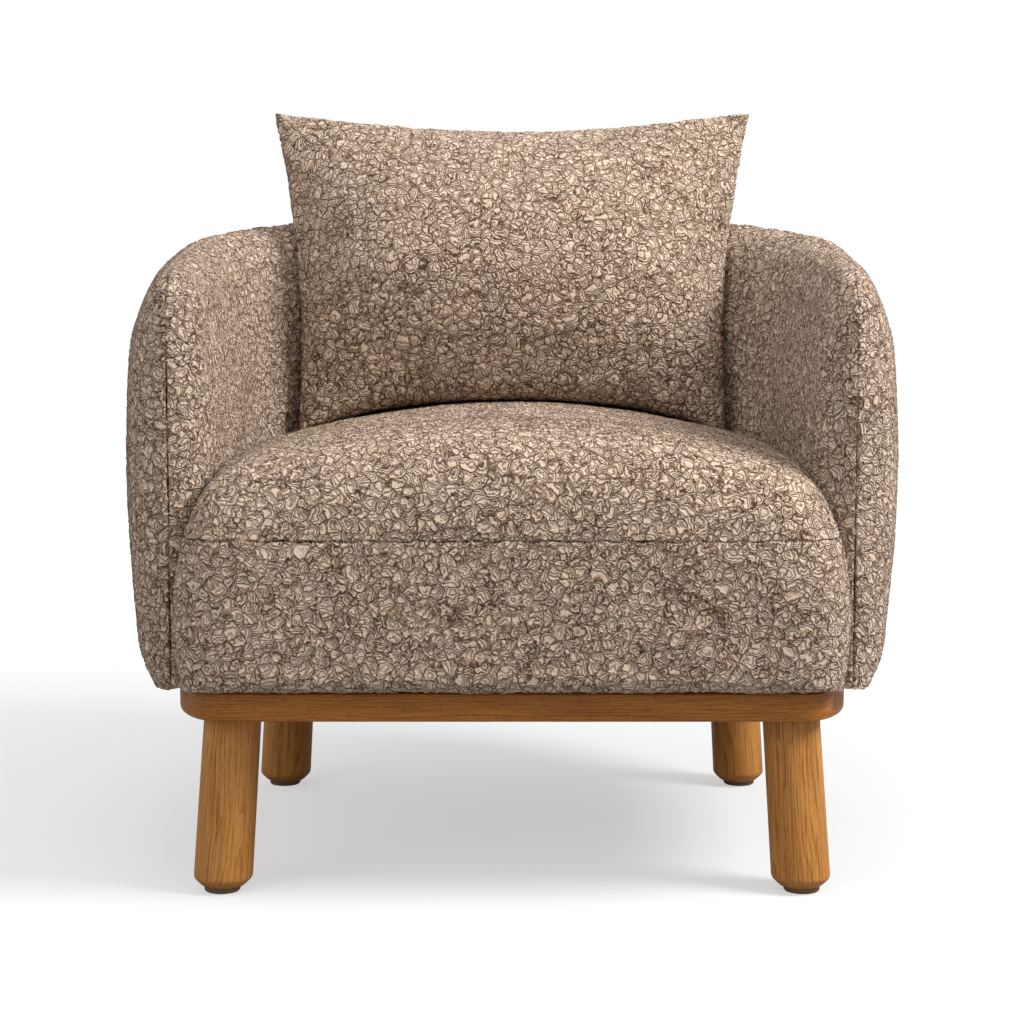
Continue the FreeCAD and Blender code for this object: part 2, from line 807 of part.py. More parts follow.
def cushion_half_at(up):
    """Half width of the cushion at a height: hollow sides between the lower corners and the ears."""
    waist = cushion_waist_share * cushion_ear_height
    low_slope = (cushion_half_waist - cushion_half_bottom) / waist
    high_slope = (cushion_half_top - cushion_half_waist) / (cushion_ear_height - waist)
    bow = (high_slope - low_slope) / cushion_ear_height
    return cushion_half_bottom + low_slope * up + bow * up * (up - waist)


def cushion_outline(inset, reach):
    """Knife-edge outline carried both ways from the cushion's plane: sagging top, hollow sides,
    raised straight middle of the lower edge."""
    top = cushion_ear_height - inset
    half_top = cushion_half_top - inset
    half_low = cushion_half_bottom - inset
    rise = cushion_bottom_rise + inset
    straight = zip_half_length + 8

    def at(x, up):
        return on_cushion(x, up, -reach)

    def lower_end(side):
        curve = arc(
            at(side * straight, rise),
            at(side * 0.5 * (straight + half_low), 0.68 * rise + 0.3 * inset),
            at(side * half_low, inset),
        )
        return curve

    waist_z = cushion_waist_share * top
    edges = [
        line(at(-straight, rise), at(straight, rise)),
        lower_end(1),
        arc(at(half_low, inset), at(cushion_half_waist - inset, waist_z), at(half_top, top)),
        arc(at(half_top, top), at(0, top - cushion_top_sag), at(-half_top, top)),
        arc(at(-half_top, top), at(inset - cushion_half_waist, waist_z), at(-half_low, inset)),
        lower_end(-1),
    ]
    face = Part.Face(Part.Wire(Part.__sortEdges__(edges)))
    return face.extrude(cushion_front * 2 * reach)


def cushion_lens(up, thick, edge, half):
    """Level section: two shallow arcs front and back, joined by thin straight edges."""
    def at(x, forward):
        return on_cushion(x, up, forward)

    return Part.Wire([
        line(at(half, -edge / 2), at(half, edge / 2)),
        arc(at(half, edge / 2), at(0, thick / 2), at(-half, edge / 2)),
        line(at(-half, edge / 2), at(-half, -edge / 2)),
        arc(at(-half, -edge / 2), at(0, -thick / 2), at(half, -edge / 2)),
    ])


def cushion_form(inset):
    """A crowned lens that swells out of a thin plate; the plate's rim and ears are the knife edge."""
    low = cushion_bottom_rise + inset - 3
    high = cushion_ear_height - cushion_top_sag - inset + 3
    edge = cushion_edge - inset
    full = cushion_thick - 2 * inset
    rim = edge - 4
    swelling = [
        (0.0, 0.0), (0.04, 0.28), (0.12, 0.56), (0.25, 0.83), (0.45, 1.0), (0.62, 0.95), (0.77, 0.76),
        (0.90, 0.45), (0.97, 0.20), (1.0, 0.0),
    ]
    lenses = []
    for share, swell in swelling:
        up = low + share * (high - low)
        half = cushion_half_at(up) - inset + 1.5
        lenses.append(cushion_lens(up, rim + swell * (full - rim), rim - 1, half))
    crown = Part.makeLoft(lenses, True, True).common(cushion_outline(inset, cushion_thick))
    plate = cushion_outline(inset, edge / 2)
    return crown.fuse(plate).removeSplitter()


def zip_tape():
    low = cushion_bottom_rise - zip_thick
    return cushion_box(-zip_half_length, zip_half_length, low, low + zip_thick, zip_width)


def cushion_box(x0, x1, up0, up1, width):
    """Box square to the cushion's plane."""
    corners = [on_cushion(x0, up0, -width / 2), on_cushion(x1, up0, -width / 2),
               on_cushion(x1, up1, -width / 2), on_cushion(x0, up1, -width / 2)]
    face = Part.Face(Part.makePolygon(corners + corners[:1]))
    return face.extrude(cushion_front * width)


def zip_slider():
    """Slider under the tape at its closed end, with the pull folded flat along the zip."""
    under_tape = cushion_bottom_rise - zip_thick - 0.3
    x0 = -zip_half_length + 6
    body = cushion_box(x0, x0 + 9, under_tape - 1.8, under_tape, 7.0)
    pull = cushion_box(x0 + 3, x0 + 24, under_tape - 2.6, under_tape - 1.6, 4.0)
    eye = Part.makeCylinder(1.1, 6, on_cushion(x0 + 20.5, under_tape - 5), cushion_up)
    return body.fuse(pull).cut(eye).removeSplitter()


# Base pieces

front_top, back_top = leg_tops()
corners = {"front": leg_set(front_top, True), "back": leg_set(back_top, False)}
plinth = prism(plinth_outline(0.0), plinth_underside, plinth_top)
rim = [e for e in plinth.Edges if abs(e.BoundBox.ZLength) < 0.01]
plinth = plinth.makeChamfer(plinth_edge_round, rim)
places = [V(side * place.x, place.y, 0) for place in screw_places() for side in (1, -1)]
screw_holes = [screw_hole(place) for place in places]
sockets = [corner["socket"] for corner in corners.values()]
for hole in sockets + [mirrored(socket) for socket in sockets] + screw_holes:
    plinth = plinth.cut(hole)
write("plinth", plinth)

for where, corner in corners.items():
    write_pair("leg_" + where, corner["leg"])
for node, key in (("foot_glides", "glide"), ("leg_bolts", "bolt"), ("leg_inserts", "insert")):
    right_pieces = [corner[key] for corner in corners.values()]
    write(node, Part.makeCompound(right_pieces + [mirrored(p) for p in right_pieces]))

write("plinth_screws", Part.makeCompound([base_screw(place) for place in places]))

dust_outline = plinth_outline(plinth_corner_depth * 0.3)
dust_cover = prism(dust_outline, plinth_top + 0.2, plinth_top + 0.2 + dust_cover_thick)
for hole in screw_holes:
    dust_cover = dust_cover.cut(hole)
write("dust_cover", dust_cover)

# Frame pieces

def drilled(shape):
    for hole in screw_holes:
        shape = shape.cut(hole)
    return shape


write("front_rail", drilled(front_rail()))
write_pair("side_rail", side_rail())
write("back_rail", drilled(back_rail()))
write("corner_blocks", corner_blocks())
write_pair("front_post", front_post())
write_pair("side_post", band_post(post_angle_side, rail_top + fit, back_rail_bottom - fit))
write_pair("rear_post", band_post(post_angle_rear, rail_top + fit, back_rail_bottom - fit))
write_pair("arm_rail", arm_rail())
write("back_top_rail", back_top_rail())
write_pair("arm_panel", arm_panel())
write("back_webbing", back_webbing())
write("seat_webbing_lengthwise", seat_webbing_lengthwise())
write("seat_webbing_crosswise", seat_webbing_crosswise())

# Foam pieces

arm_inner, back_inner = inner_foam()
arm_outer, back_outer = outer_foam()
arm_roll, back_roll = top_roll()
write_pair("arm_inner_foam", arm_inner)
write("back_inner_foam", back_inner)
write_pair("arm_outer_foam", arm_outer)
write("back_outer_foam", back_outer)
write_pair("arm_top_foam", arm_roll)
write("back_top_foam", back_roll)
front_foam, deck_foam = seat_foams()
write("seat_front_foam", front_foam)
write("seat_foam", deck_foam)

# Covers of the wall, sewn together along its middle line

wall = wall_form()
skin = wall
for piece in wall_core():
    skin = skin.cut(piece)
rail_space = box(
    -post_x, post_x, post_front - foam_gap, post_back + foam_gap, plinth_top - 20, rail_top + foam_gap
)
skin = skin.cut(rail_space)
outer_cover = skin.cut(middle_prism(seam_gap / 2))
deck_space = box(-mid_x, mid_x, post_back + foam_gap, back_y, plinth_top - 20, deck_bottom + 1.0)
inner_cover = skin.common(middle_prism(-seam_gap / 2)).cut(deck_space)
write("tub_cover_outer", outer_cover)
write("tub_cover_inner", inner_cover)

# Covers of the seat, sewn together across its front

wall_space = wall_form(soft_gap)
shell = seat_form().cut(wall_space)
for piece in seat_foams(foam_gap):
    shell = shell.cut(piece)
wide = overall_width
above = box(-wide, wide, front_y - 50, back_y, seat_seam_height, seat_height + 60)
below = box(-wide, wide, front_y - 50, post_front - 1.0, plinth_top - 20, seat_seam_height)
seat_cover_top = shell.common(above)
seat_cover_front = shell.common(below)
write("seat_cover_top", seat_cover_top)
write("seat_cover_front", seat_cover_front)

# Cushion pieces

cushion = cushion_form(0.0)
insert_form = cushion_form(cushion_skin)
write("cushion_cover", cushion.cut(insert_form))
write("cushion_insert", cushion_form(cushion_skin + foam_gap))
write("zip_tape", zip_tape())
write("zip_slider", zip_slider())
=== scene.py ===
import math

import bmesh
import bpy
import numpy as np
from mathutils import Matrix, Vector


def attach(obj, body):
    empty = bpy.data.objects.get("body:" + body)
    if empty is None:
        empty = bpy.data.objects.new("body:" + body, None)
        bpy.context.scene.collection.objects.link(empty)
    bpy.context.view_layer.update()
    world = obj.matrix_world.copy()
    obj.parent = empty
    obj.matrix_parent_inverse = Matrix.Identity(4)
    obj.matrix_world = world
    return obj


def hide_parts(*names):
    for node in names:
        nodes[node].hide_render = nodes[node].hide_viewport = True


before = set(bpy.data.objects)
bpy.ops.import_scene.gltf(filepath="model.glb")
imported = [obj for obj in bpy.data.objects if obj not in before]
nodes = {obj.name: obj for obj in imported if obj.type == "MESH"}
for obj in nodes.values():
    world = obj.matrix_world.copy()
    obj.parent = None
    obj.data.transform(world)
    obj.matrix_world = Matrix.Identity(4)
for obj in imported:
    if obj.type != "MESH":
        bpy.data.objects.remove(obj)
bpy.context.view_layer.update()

# Sizes in millimetres, the same as the frame's; meshes are written in metres.
MM = 0.001
seat_seam_height = 359.0
seat_height = 467.0
arm_height = 616.0
shoulder_height = 639.0
back_height = 675.0
plinth_underside = 178.0
plinth_top = 207.0
wall_bottom = 207.3
front_y = -370.0
bend_y = -10.0
nose_y = -325.0
nose_length = 48.0
nose_inset = 10.0
nose_drop = 42.0
crest_lean = 12.0
mid_x = 345.0
mid_back = 305.0
wall_out = {"nose": 32.5, "side": 63.5, "back": 75.0}
wall_in = {"nose": 38.0, "side": 62.0, "back": 95.0}
reach = bend_y - nose_y
foot_share = 0.36
foot_least = 18.5
foot_dip = 1.8
flank_rise = 46.0
flank_drop = 100.0
shoulder_drop = 24.0
inner_drop = 52.0
inner_mid_drop = 120.0

# Cloth: a grid step, the turned-in lip beside each seam, and the looped yarn.
grid_step = 3.3
lip_radius = 3.2
lip_share = 0.65
lip_steps = (0.0, 0.25, 0.7, 1.4, 2.3, 3.4)
seam_depth = 6.0
wander_depth = 0.5
wander_fade = 8.0
cluster_size = 11.5
strand_width = 3.0
knot_size = 5.2
coarse_relief = 1.5
fine_relief = 2.2


# Numbers on curves

def arc_points(a, b, c, count):
    """Points of the circular arc through three points of a plane, the last one left out."""
    a, b, c = (np.array(p, float) for p in (a, b, c))
    d = 2 * (a[0] * (b[1] - c[1]) + b[0] * (c[1] - a[1]) + c[0] * (a[1] - b[1]))
    if abs(d) < 1e-6:
        t = np.linspace(0, 1, count, endpoint=False)[:, None]
        return a + (c - a) * t
    sq = [p @ p for p in (a, b, c)]
    centre = np.array([
        sq[0] * (b[1] - c[1]) + sq[1] * (c[1] - a[1]) + sq[2] * (a[1] - b[1]),
        sq[0] * (c[0] - b[0]) + sq[1] * (a[0] - c[0]) + sq[2] * (b[0] - a[0]),
    ]) / d
    radius = np.linalg.norm(a - centre)
    start = math.atan2(*(a - centre)[::-1])
    through = (math.atan2(*(b - centre)[::-1]) - start) % (2 * math.pi)
    sweep = (math.atan2(*(c - centre)[::-1]) - start) % (2 * math.pi)
    if through > sweep:
        sweep -= 2 * math.pi
    turn = start + sweep * np.linspace(0, 1, count, endpoint=False)
    return centre + radius * np.stack([np.cos(turn), np.sin(turn)], 1)


def line_points(a, b, count):
    t = np.linspace(0, 1, count, endpoint=False)[:, None]
    return np.array(a, float) + (np.array(b, float) - np.array(a, float)) * t


def run_length(points):
    return np.concatenate([[0], np.cumsum(np.linalg.norm(np.diff(points, axis=0), axis=1))])


def even_points(points, count):
    """The same line with that many points, evenly spaced."""
    s = run_length(points)
    at = np.linspace(0, s[-1], count)
    return np.stack([np.interp(at, s, points[:, i]) for i in range(points.shape[1])], 1)


def softened(values, width):
    """A running average along the first axis that keeps both ends; width is in samples."""
    half = max(1, int(3 * width))
    weights = np.exp(-0.5 * (np.arange(-half, half + 1) / width) ** 2)
    weights /= weights.sum()
    values = np.asarray(values, float)
    flat = values.reshape(len(values), -1)
    before = 2 * flat[0] - flat[half:0:-1]
    after = 2 * flat[-1] - flat[-2:-half - 2:-1]
    padded = np.concatenate([before, flat, after])
    rows = [np.convolve(padded[:, i], weights, "valid") for i in range(flat.shape[1])]
    return np.stack(rows, 1).reshape(values.shape)


def monotone_curve(x, xs, ys):
    """Smooth curve through a table that never overshoots it."""
    xs, ys = np.array(xs, float), np.array(ys, float)
    step = np.diff(xs)
    slope = np.diff(ys) / step
    before, after = slope[:-1], slope[1:]
    inner = np.where(before * after > 0, 2 * before * after / (before + after + 1e-12), 0)
    tangent = np.concatenate([[slope[0]], inner, [slope[-1]]])
    x = np.clip(x, xs[0], xs[-1])
    i = np.clip(np.searchsorted(xs, x) - 1, 0, len(step) - 1)
    t = (x - xs[i]) / step[i]
    return (
        (2 * t**3 - 3 * t**2 + 1) * ys[i]
        + (t**3 - 2 * t**2 + t) * step[i] * tangent[i]
        + (3 * t**2 - 2 * t**3) * ys[i + 1]
        + (t**3 - t**2) * step[i] * tangent[i + 1]
    )


def graded(length, step, fine=lip_steps):
    """Distances from a seam to the far end: close together at the lip, then even."""
    fine = [f for f in fine if f < 0.5 * length]
    count = max(2, int(round((length - fine[-1]) / step)))
    return np.concatenate([fine[:-1], np.linspace(fine[-1], length, count + 1)])


# Meshes

def grid_faces(rows, columns, closed=False):
    around = columns if closed else columns - 1
    r, c = np.meshgrid(np.arange(rows - 1), np.arange(around), indexing="ij")
    a = (r * columns + c).ravel()
    b = (r * columns + (c + 1) % columns).ravel()
    return np.stack([a, b, b + columns, a + columns], 1)


def make_piece(name, points, faces):
    mesh = bpy.data.meshes.new(name)
    mesh.from_pydata((np.asarray(points) * MM).tolist(), [], [list(map(int, f)) for f in faces])
    mesh.validate()
    mesh.update()
    mesh.polygons.foreach_set("use_smooth", [True] * len(mesh.polygons))
    piece = bpy.data.objects.new(name, mesh)
    bpy.context.scene.collection.objects.link(piece)
    return piece


def grid_normals(grid):
    """Unit normals of a grid of points, rows by columns."""
    along = np.gradient(grid, axis=0)
    across = np.gradient(grid, axis=1)
    normal = np.cross(along, across)
    return normal / np.maximum(np.linalg.norm(normal, axis=2, keepdims=True), 1e-9)


def lip_depth(distance):
    """How far the cloth turns in beside a seam."""
    near = np.clip(lip_radius - distance, 0, lip_radius)
    return lip_share * (lip_radius - np.sqrt(np.maximum(lip_radius**2 - near**2, 0)))


def seam_wander(along, beside):
    """How far a sewn line strays to one side, along its length and fading beside it."""
    stray = np.sin(along / 4.3) + np.sin(along / 7.1 + 2.0)
    return wander_depth * stray * np.exp(-beside / wander_fade)


# Colours and node helpers

def srgb(red, green, blue):
    """Linear colour of an sRGB colour written from 0 to 255."""
    parts = [c / 255 for c in (red, green, blue)]
    return [p / 12.92 if p <= 0.04045 else ((p + 0.055) / 1.055) ** 2.4 for p in parts] + [1.0]


class Graph:
    """Short ways to add nodes that shader trees and geometry trees share."""

    def __init__(self, tree):
        self.tree = tree

    def node(self, kind, **settings):
        made = self.tree.nodes.new(kind)
        for key, value in settings.items():
            setattr(made, key, value)
        return made

    def feed(self, socket, value):
        if isinstance(value, bpy.types.NodeSocket):
            self.tree.links.new(value, socket)
        else:
            socket.default_value = value

    def math(self, operation, *values, clamp=False):
        made = self.node("ShaderNodeMath", operation=operation, use_clamp=clamp)
        for socket, value in zip(made.inputs, values):
            self.feed(socket, value)
        return made.outputs[0]

    def vector(self, operation, *values, scale=None):
        made = self.node("ShaderNodeVectorMath", operation=operation)
        for socket, value in zip(made.inputs, values):
            self.feed(socket, value)
        if scale is not None:
            self.feed(made.inputs["Scale"], scale)
        return made.outputs["Value" if operation in ("LENGTH", "DOT_PRODUCT", "DISTANCE") else "Vector"]

    def remap(self, value, low, high, new_low=0.0, new_high=1.0):
        made = self.node("ShaderNodeMapRange", interpolation_type="SMOOTHSTEP")
        names = ("Value", "From Min", "From Max", "To Min", "To Max")
        for name, v in zip(names, (value, low, high, new_low, new_high)):
            self.feed(made.inputs[name], v)
        return made.outputs["Result"]

    def blend(self, factor, a, b):
        made = self.node("ShaderNodeMix", data_type="FLOAT")
        for socket, value in zip((made.inputs[0], made.inputs[2], made.inputs[3]), (factor, a, b)):
            self.feed(socket, value)
        return made.outputs[0]

    def noise(self, place, scale, detail=2.0, roughness=0.5):
        made = self.node("ShaderNodeTexNoise")
        self.feed(made.inputs["Vector"], place)
        self.feed(made.inputs["Scale"], scale)
        self.feed(made.inputs["Detail"], detail)
        self.feed(made.inputs["Roughness"], roughness)
        return made

    def cells(self, place, scale, feature="F1"):
        made = self.node("ShaderNodeTexVoronoi", feature=feature)
        self.feed(made.inputs["Vector"], place)
        self.feed(made.inputs["Scale"], scale)
        return made

    def ramp(self, value, stops):
        made = self.node("ShaderNodeValToRGB")
        elements = made.color_ramp.elements
        while len(elements) < len(stops):
            elements.new(0.5)
        for element, (position, colour) in zip(elements, stops):
            element.position = position
            element.color = colour
        self.feed(made.inputs[0], value)
        return made.outputs["Color"]


def yarn(graph, place):
    """Looped yarn at a place in millimetres: clusters of curled strands with crevices between.
    Gives the clusters' height, the full height and a random number per cluster."""
    drift = graph.vector("SUBTRACT", graph.noise(place, 1 / 13, 1.0).outputs["Color"], (0.5, 0.5, 0.5))
    curl = graph.vector("SUBTRACT", graph.noise(place, 1 / 5, 1.0).outputs["Color"], (0.5, 0.5, 0.5))
    warped = graph.vector("ADD", place, graph.vector("SCALE", drift, scale=15.0))
    warped = graph.vector("ADD", warped, graph.vector("SCALE", curl, scale=4.5))
    cell = graph.cells(warped, 1 / cluster_size)
    border = graph.cells(warped, 1 / cluster_size, "DISTANCE_TO_EDGE").outputs["Distance"]
    dome = graph.remap(graph.math("MULTIPLY", border, cluster_size), 0.0, 1.5)
    from_middle = graph.vector("SUBTRACT", warped, cell.outputs["Position"])
    chance = graph.node("ShaderNodeSeparateXYZ")
    graph.feed(chance.inputs[0], cell.outputs["Color"])
    turn = graph.vector("NORMALIZE", graph.vector("SUBTRACT", cell.outputs["Color"], (0.5, 0.5, 0.5)))
    radius = graph.vector("LENGTH", from_middle)
    wave = math.pi / strand_width
    rings = graph.math("ABSOLUTE", graph.math("SINE", graph.math("MULTIPLY", radius, wave)))
    across = graph.vector("DOT_PRODUCT", from_middle, turn)
    bars_at = graph.math("ADD", across, graph.math("MULTIPLY", radius, 0.45))
    bars = graph.math("ABSOLUTE", graph.math("SINE", graph.math("MULTIPLY", bars_at, wave)))
    strands = graph.blend(graph.remap(chance.outputs[0], 0.38, 0.42), rings, bars)
    curled = graph.math("MULTIPLY_ADD", strands, 0.76, 0.08)
    full = graph.math("MULTIPLY", curled, graph.math("MULTIPLY_ADD", dome, 0.6, 0.4))
    full = graph.math("MULTIPLY_ADD", dome, 0.2, full)
    knot = graph.cells(warped, 1 / knot_size).outputs["Distance"]
    pop = graph.remap(graph.math("MULTIPLY", knot, knot_size), 0.4, 1.9, 0.66, 0.0)
    return dome, graph.math("MAXIMUM", full, pop), chance.outputs[1]


def relief_tree():
    """Geometry nodes that raise the yarn's clusters and keep each point's first place for the material."""
    tree = bpy.data.node_groups.new("yarn_relief", "GeometryNodeTree")
    tree.interface.new_socket("Geometry", in_out="INPUT", socket_type="NodeSocketGeometry")
    tree.interface.new_socket("Geometry", in_out="OUTPUT", socket_type="NodeSocketGeometry")
    graph = Graph(tree)
    start = graph.node("NodeGroupInput")
    end = graph.node("NodeGroupOutput")
    place = graph.node("GeometryNodeInputPosition").outputs[0]
    millimetres = graph.vector("SCALE", place, scale=1 / MM)
    store = graph.node("GeometryNodeStoreNamedAttribute", data_type="FLOAT_VECTOR", domain="POINT")
    store.inputs["Name"].default_value = "yarn_place"
    graph.feed(store.inputs["Geometry"], start.outputs[0])
    graph.feed(store.inputs["Value"], millimetres)
    dome, _, _ = yarn(graph, millimetres)
    lumps = graph.noise(millimetres, 1 / 70, 2.0).outputs[0]
    rise = graph.math("MULTIPLY_ADD", dome, coarse_relief * MM, -0.75 * coarse_relief * MM)
    swell = graph.math("MULTIPLY_ADD", lumps, 4 * MM, -2 * MM)
    normal = graph.node("GeometryNodeInputNormal").outputs[0]
    push = graph.vector("SCALE", normal, scale=graph.math("ADD", rise, swell))
    move = graph.node("GeometryNodeSetPosition")
    graph.feed(move.inputs["Geometry"], store.outputs[0])
    graph.feed(move.inputs["Offset"], push)
    graph.feed(end.inputs[0], move.outputs[0])
    return tree


def new_material(name):
    material = bpy.data.materials.new(name)
    material.use_nodes = True
    shader = material.node_tree.nodes["Principled BSDF"]
    return material, Graph(material.node_tree), shader


def bump(graph, shader, height, distance):
    made = graph.node("ShaderNodeBump")
    made.inputs["Strength"].default_value = 1.0
    made.inputs["Distance"].default_value = distance * MM
    graph.feed(made.inputs["Height"], height)
    graph.feed(shader.inputs["Normal"], made.outputs[0])


def boucle_material():
    material, graph, shader = new_material("boucle")
    stored = graph.node("ShaderNodeAttribute", attribute_name="yarn_place")
    place = stored.outputs["Vector"]
    _, full, chance = yarn(graph, place)
    fibre = graph.noise(place, 1 / 0.8, 2.0, 0.7).outputs[0]
    broad = graph.noise(place, 1 / 45, 2.0).outputs[0]
    shade = graph.math("ADD", full, graph.math("MULTIPLY_ADD", fibre, 0.9, -0.45))
    shade = graph.math("ADD", shade, graph.math("MULTIPLY_ADD", chance, 0.14, -0.07))
    shade = graph.math("ADD", shade, graph.math("MULTIPLY_ADD", broad, 0.3, -0.15), clamp=True)
    # The ramp darkens the yarn where it lies low, most in the crevices between clusters: painted shade.
    # The fibre, cluster and broad noise add the yarn's own uneven tone.
    colour = graph.ramp(shade, [
        (0.08, srgb(66, 46, 34)),
        (0.28, srgb(116, 92, 74)),
        (0.5, srgb(166, 140, 118)),
        (0.78, srgb(192, 167, 146)),
        (1.0, srgb(212, 190, 169)),
    ])
    graph.feed(shader.inputs["Base Color"], colour)
    shader.inputs["Roughness"].default_value = 0.95
    shader.inputs["Specular IOR Level"].default_value = 0.15
    shader.inputs["Sheen Weight"].default_value = 0.08
    shader.inputs["Sheen Roughness"].default_value = 0.5
    height = graph.math("ADD", full, graph.math("MULTIPLY", fibre, 0.28))
    bump(graph, shader, height, fine_relief)
    return material


def oak_material(name, honey, streak, worn):
    """Oak with its grain along the third axis of the mesh's own grain place."""
    material, graph, shader = new_material(name)
    stored = graph.node("ShaderNodeAttribute", attribute_name="grain_place")
    place = stored.outputs["Vector"]

    def stretched(across, along):
        return graph.vector("MULTIPLY", place, (1 / across, 1 / across, 1 / along))

    slow = graph.noise(stretched(22, 170), 1.0, 2.0).outputs["Color"]
    wander = graph.vector("SUBTRACT", slow, (0.5, 0.5, 0.5))
    bent = graph.vector("ADD", place, graph.vector("MULTIPLY", wander, (22.0, 22.0, 0.0)))
    split = graph.node("ShaderNodeSeparateXYZ")
    graph.feed(split.inputs[0], bent)
    from_heart = [graph.math("ADD", split.outputs[i], offset) for i, offset in enumerate((46.0, 18.0))]
    away = graph.math("SQRT", graph.math("ADD", *[graph.math("POWER", part, 2.0) for part in from_heart]))
    rings = graph.math("FRACT", graph.math("DIVIDE", away, 3.6))
    late = graph.remap(rings, 0.55, 1.0)
    streaks = graph.noise(stretched(1.6, 55), 1.0, 3.0, 0.6).outputs[0]
    pores = graph.noise(stretched(0.45, 9), 1.0, 2.0, 0.6).outputs[0]
    pore = graph.remap(pores, 0.58, 0.70)
    broad = graph.noise(stretched(16, 140), 1.0, 2.0).outputs[0]
    shade = graph.math("MULTIPLY_ADD", late, 0.30, graph.math("MULTIPLY_ADD", streaks, 1.1, -0.42))
    shade = graph.math("ADD", shade, graph.math("MULTIPLY_ADD", broad, 0.7, -0.35))
    shade = graph.math("ADD", shade, graph.math("MULTIPLY", pore, 0.30), clamp=True)
    pore_tone = [0.6 * c for c in streak[:3]] + [1.0]
    colour = graph.ramp(shade, [(0.0, worn), (0.35, honey), (0.7, streak), (1.0, pore_tone)])
    graph.feed(shader.inputs["Base Color"], colour)
    graph.feed(shader.inputs["Roughness"], graph.math("MULTIPLY_ADD", streaks, 0.22, 0.36))
    shader.inputs["Specular IOR Level"].default_value = 0.3
    shader.inputs["Coat Weight"].default_value = 0.05
    shader.inputs["Coat Roughness"].default_value = 0.35
    bump(graph, shader, graph.math("MULTIPLY_ADD", pore, -0.8, streaks), 0.25)
    return material


def plain_material(name, base, other, grain, roughness, metallic=0.0, relief=0.1):
    """Two tones mixed by noise, for the pieces inside; grain is its size in millimetres by axis."""
    material, graph, shader = new_material(name)
    coords = graph.node("ShaderNodeTexCoord").outputs["Object"]
    stretched = graph.vector("MULTIPLY", coords, [1 / (g * MM) for g in grain])
    pattern = graph.noise(stretched, 1.0, 3.0, 0.6).outputs[0]
    graph.feed(shader.inputs["Base Color"], graph.ramp(pattern, [(0.3, base), (0.7, other)]))
    graph.feed(shader.inputs["Roughness"], graph.math("MULTIPLY_ADD", pattern, 0.2, roughness - 0.1))
    shader.inputs["Metallic"].default_value = metallic
    bump(graph, shader, pattern, relief)
    return material


boucle = boucle_material()
oak = oak_material("oak", srgb(162, 104, 42), srgb(113, 67, 24), srgb(188, 130, 62))
# A darker copy of the oak for the plinth: painted shade for the shadow under the seat's overhang.
oak_shaded = oak_material("oak_shaded", srgb(146, 85, 24), srgb(98, 53, 12), srgb(168, 106, 36))
yarn_relief = relief_tree()


def raise_yarn(piece):
    """Applies the yarn's relief to a cloth piece and gives it the cloth."""
    modifier = piece.modifiers.new("yarn", "NODES")
    modifier.node_group = yarn_relief
    settled = piece.evaluated_get(bpy.context.evaluated_depsgraph_get())
    mesh = bpy.data.meshes.new_from_object(settled)
    piece.modifiers.clear()
    piece.data = mesh
    mesh.materials.clear()
    mesh.materials.append(boucle)


# The wall: stations along its middle line from the right nose to the middle of the back

def wall_run():
    """Middle point, outward normal and section sizes at each station of the right half."""
    tip_turns = np.radians([0, 1.2, 2.6, 4.4, 6.6] + list(np.arange(9.5, 90.1, 3.2)))
    tips = nose_length * (1 - np.cos(tip_turns))
    straights = np.arange(nose_length + grid_step, reach, grid_step)
    from_tip = np.concatenate([tips, straights])
    along = from_tip / reach
    short_of = 1 - from_tip / nose_length
    swell = np.where(from_tip < nose_length, np.sqrt(np.maximum(1 - short_of**2, 0)), 1.0)
    slope = 2 * nose_inset * (1 - along) / reach
    arm = {
        "x": mid_x - nose_inset * (1 - along) ** 2,
        "y": nose_y + from_tip,
        "nx": np.ones_like(along),
        "ny": -slope,
        "out": wall_out["side"] - (wall_out["side"] - wall_out["nose"]) * (1 - along) ** 2,
        "in": wall_in["side"] - (wall_in["side"] - wall_in["nose"]) * (1 - along) ** 1.5,
        "crest": arm_height + (shoulder_height - arm_height) * along - nose_drop * (1 - swell),
        "lean": -crest_lean * (1 - along),
        "bottom": wall_bottom - 0.45 * (1 - along) + 3 * (1 - swell),
        "swell": swell,
    }
    turn = np.radians(np.linspace(0, 90, 152))
    sine = np.sin(turn)
    back = {
        "x": mid_x * np.cos(turn),
        "y": bend_y + mid_back * sine,
        "nx": np.cos(turn) / mid_x,
        "ny": sine / mid_back,
        "out": wall_out["side"] + (wall_out["back"] - wall_out["side"]) * sine**2,
        "in": wall_in["side"] + (wall_in["back"] - wall_in["side"]) * sine**4,
        "crest": shoulder_height + (back_height - shoulder_height) * sine**0.85,
        "lean": np.zeros_like(turn),
        "bottom": np.full_like(turn, wall_bottom),
        "swell": np.ones_like(turn),
    }
    run = {key: np.concatenate([arm[key], back[key]]) for key in arm}
    size = np.hypot(run["nx"], run["ny"])
    run["nx"], run["ny"] = run["nx"] / size, run["ny"] / size
    settled = len(tips) + 12
    for key in ("nx", "ny", "out", "in", "crest", "lean"):
        smooth = softened(run[key], 8)
        run[key][settled:] = smooth[settled:]
    return run


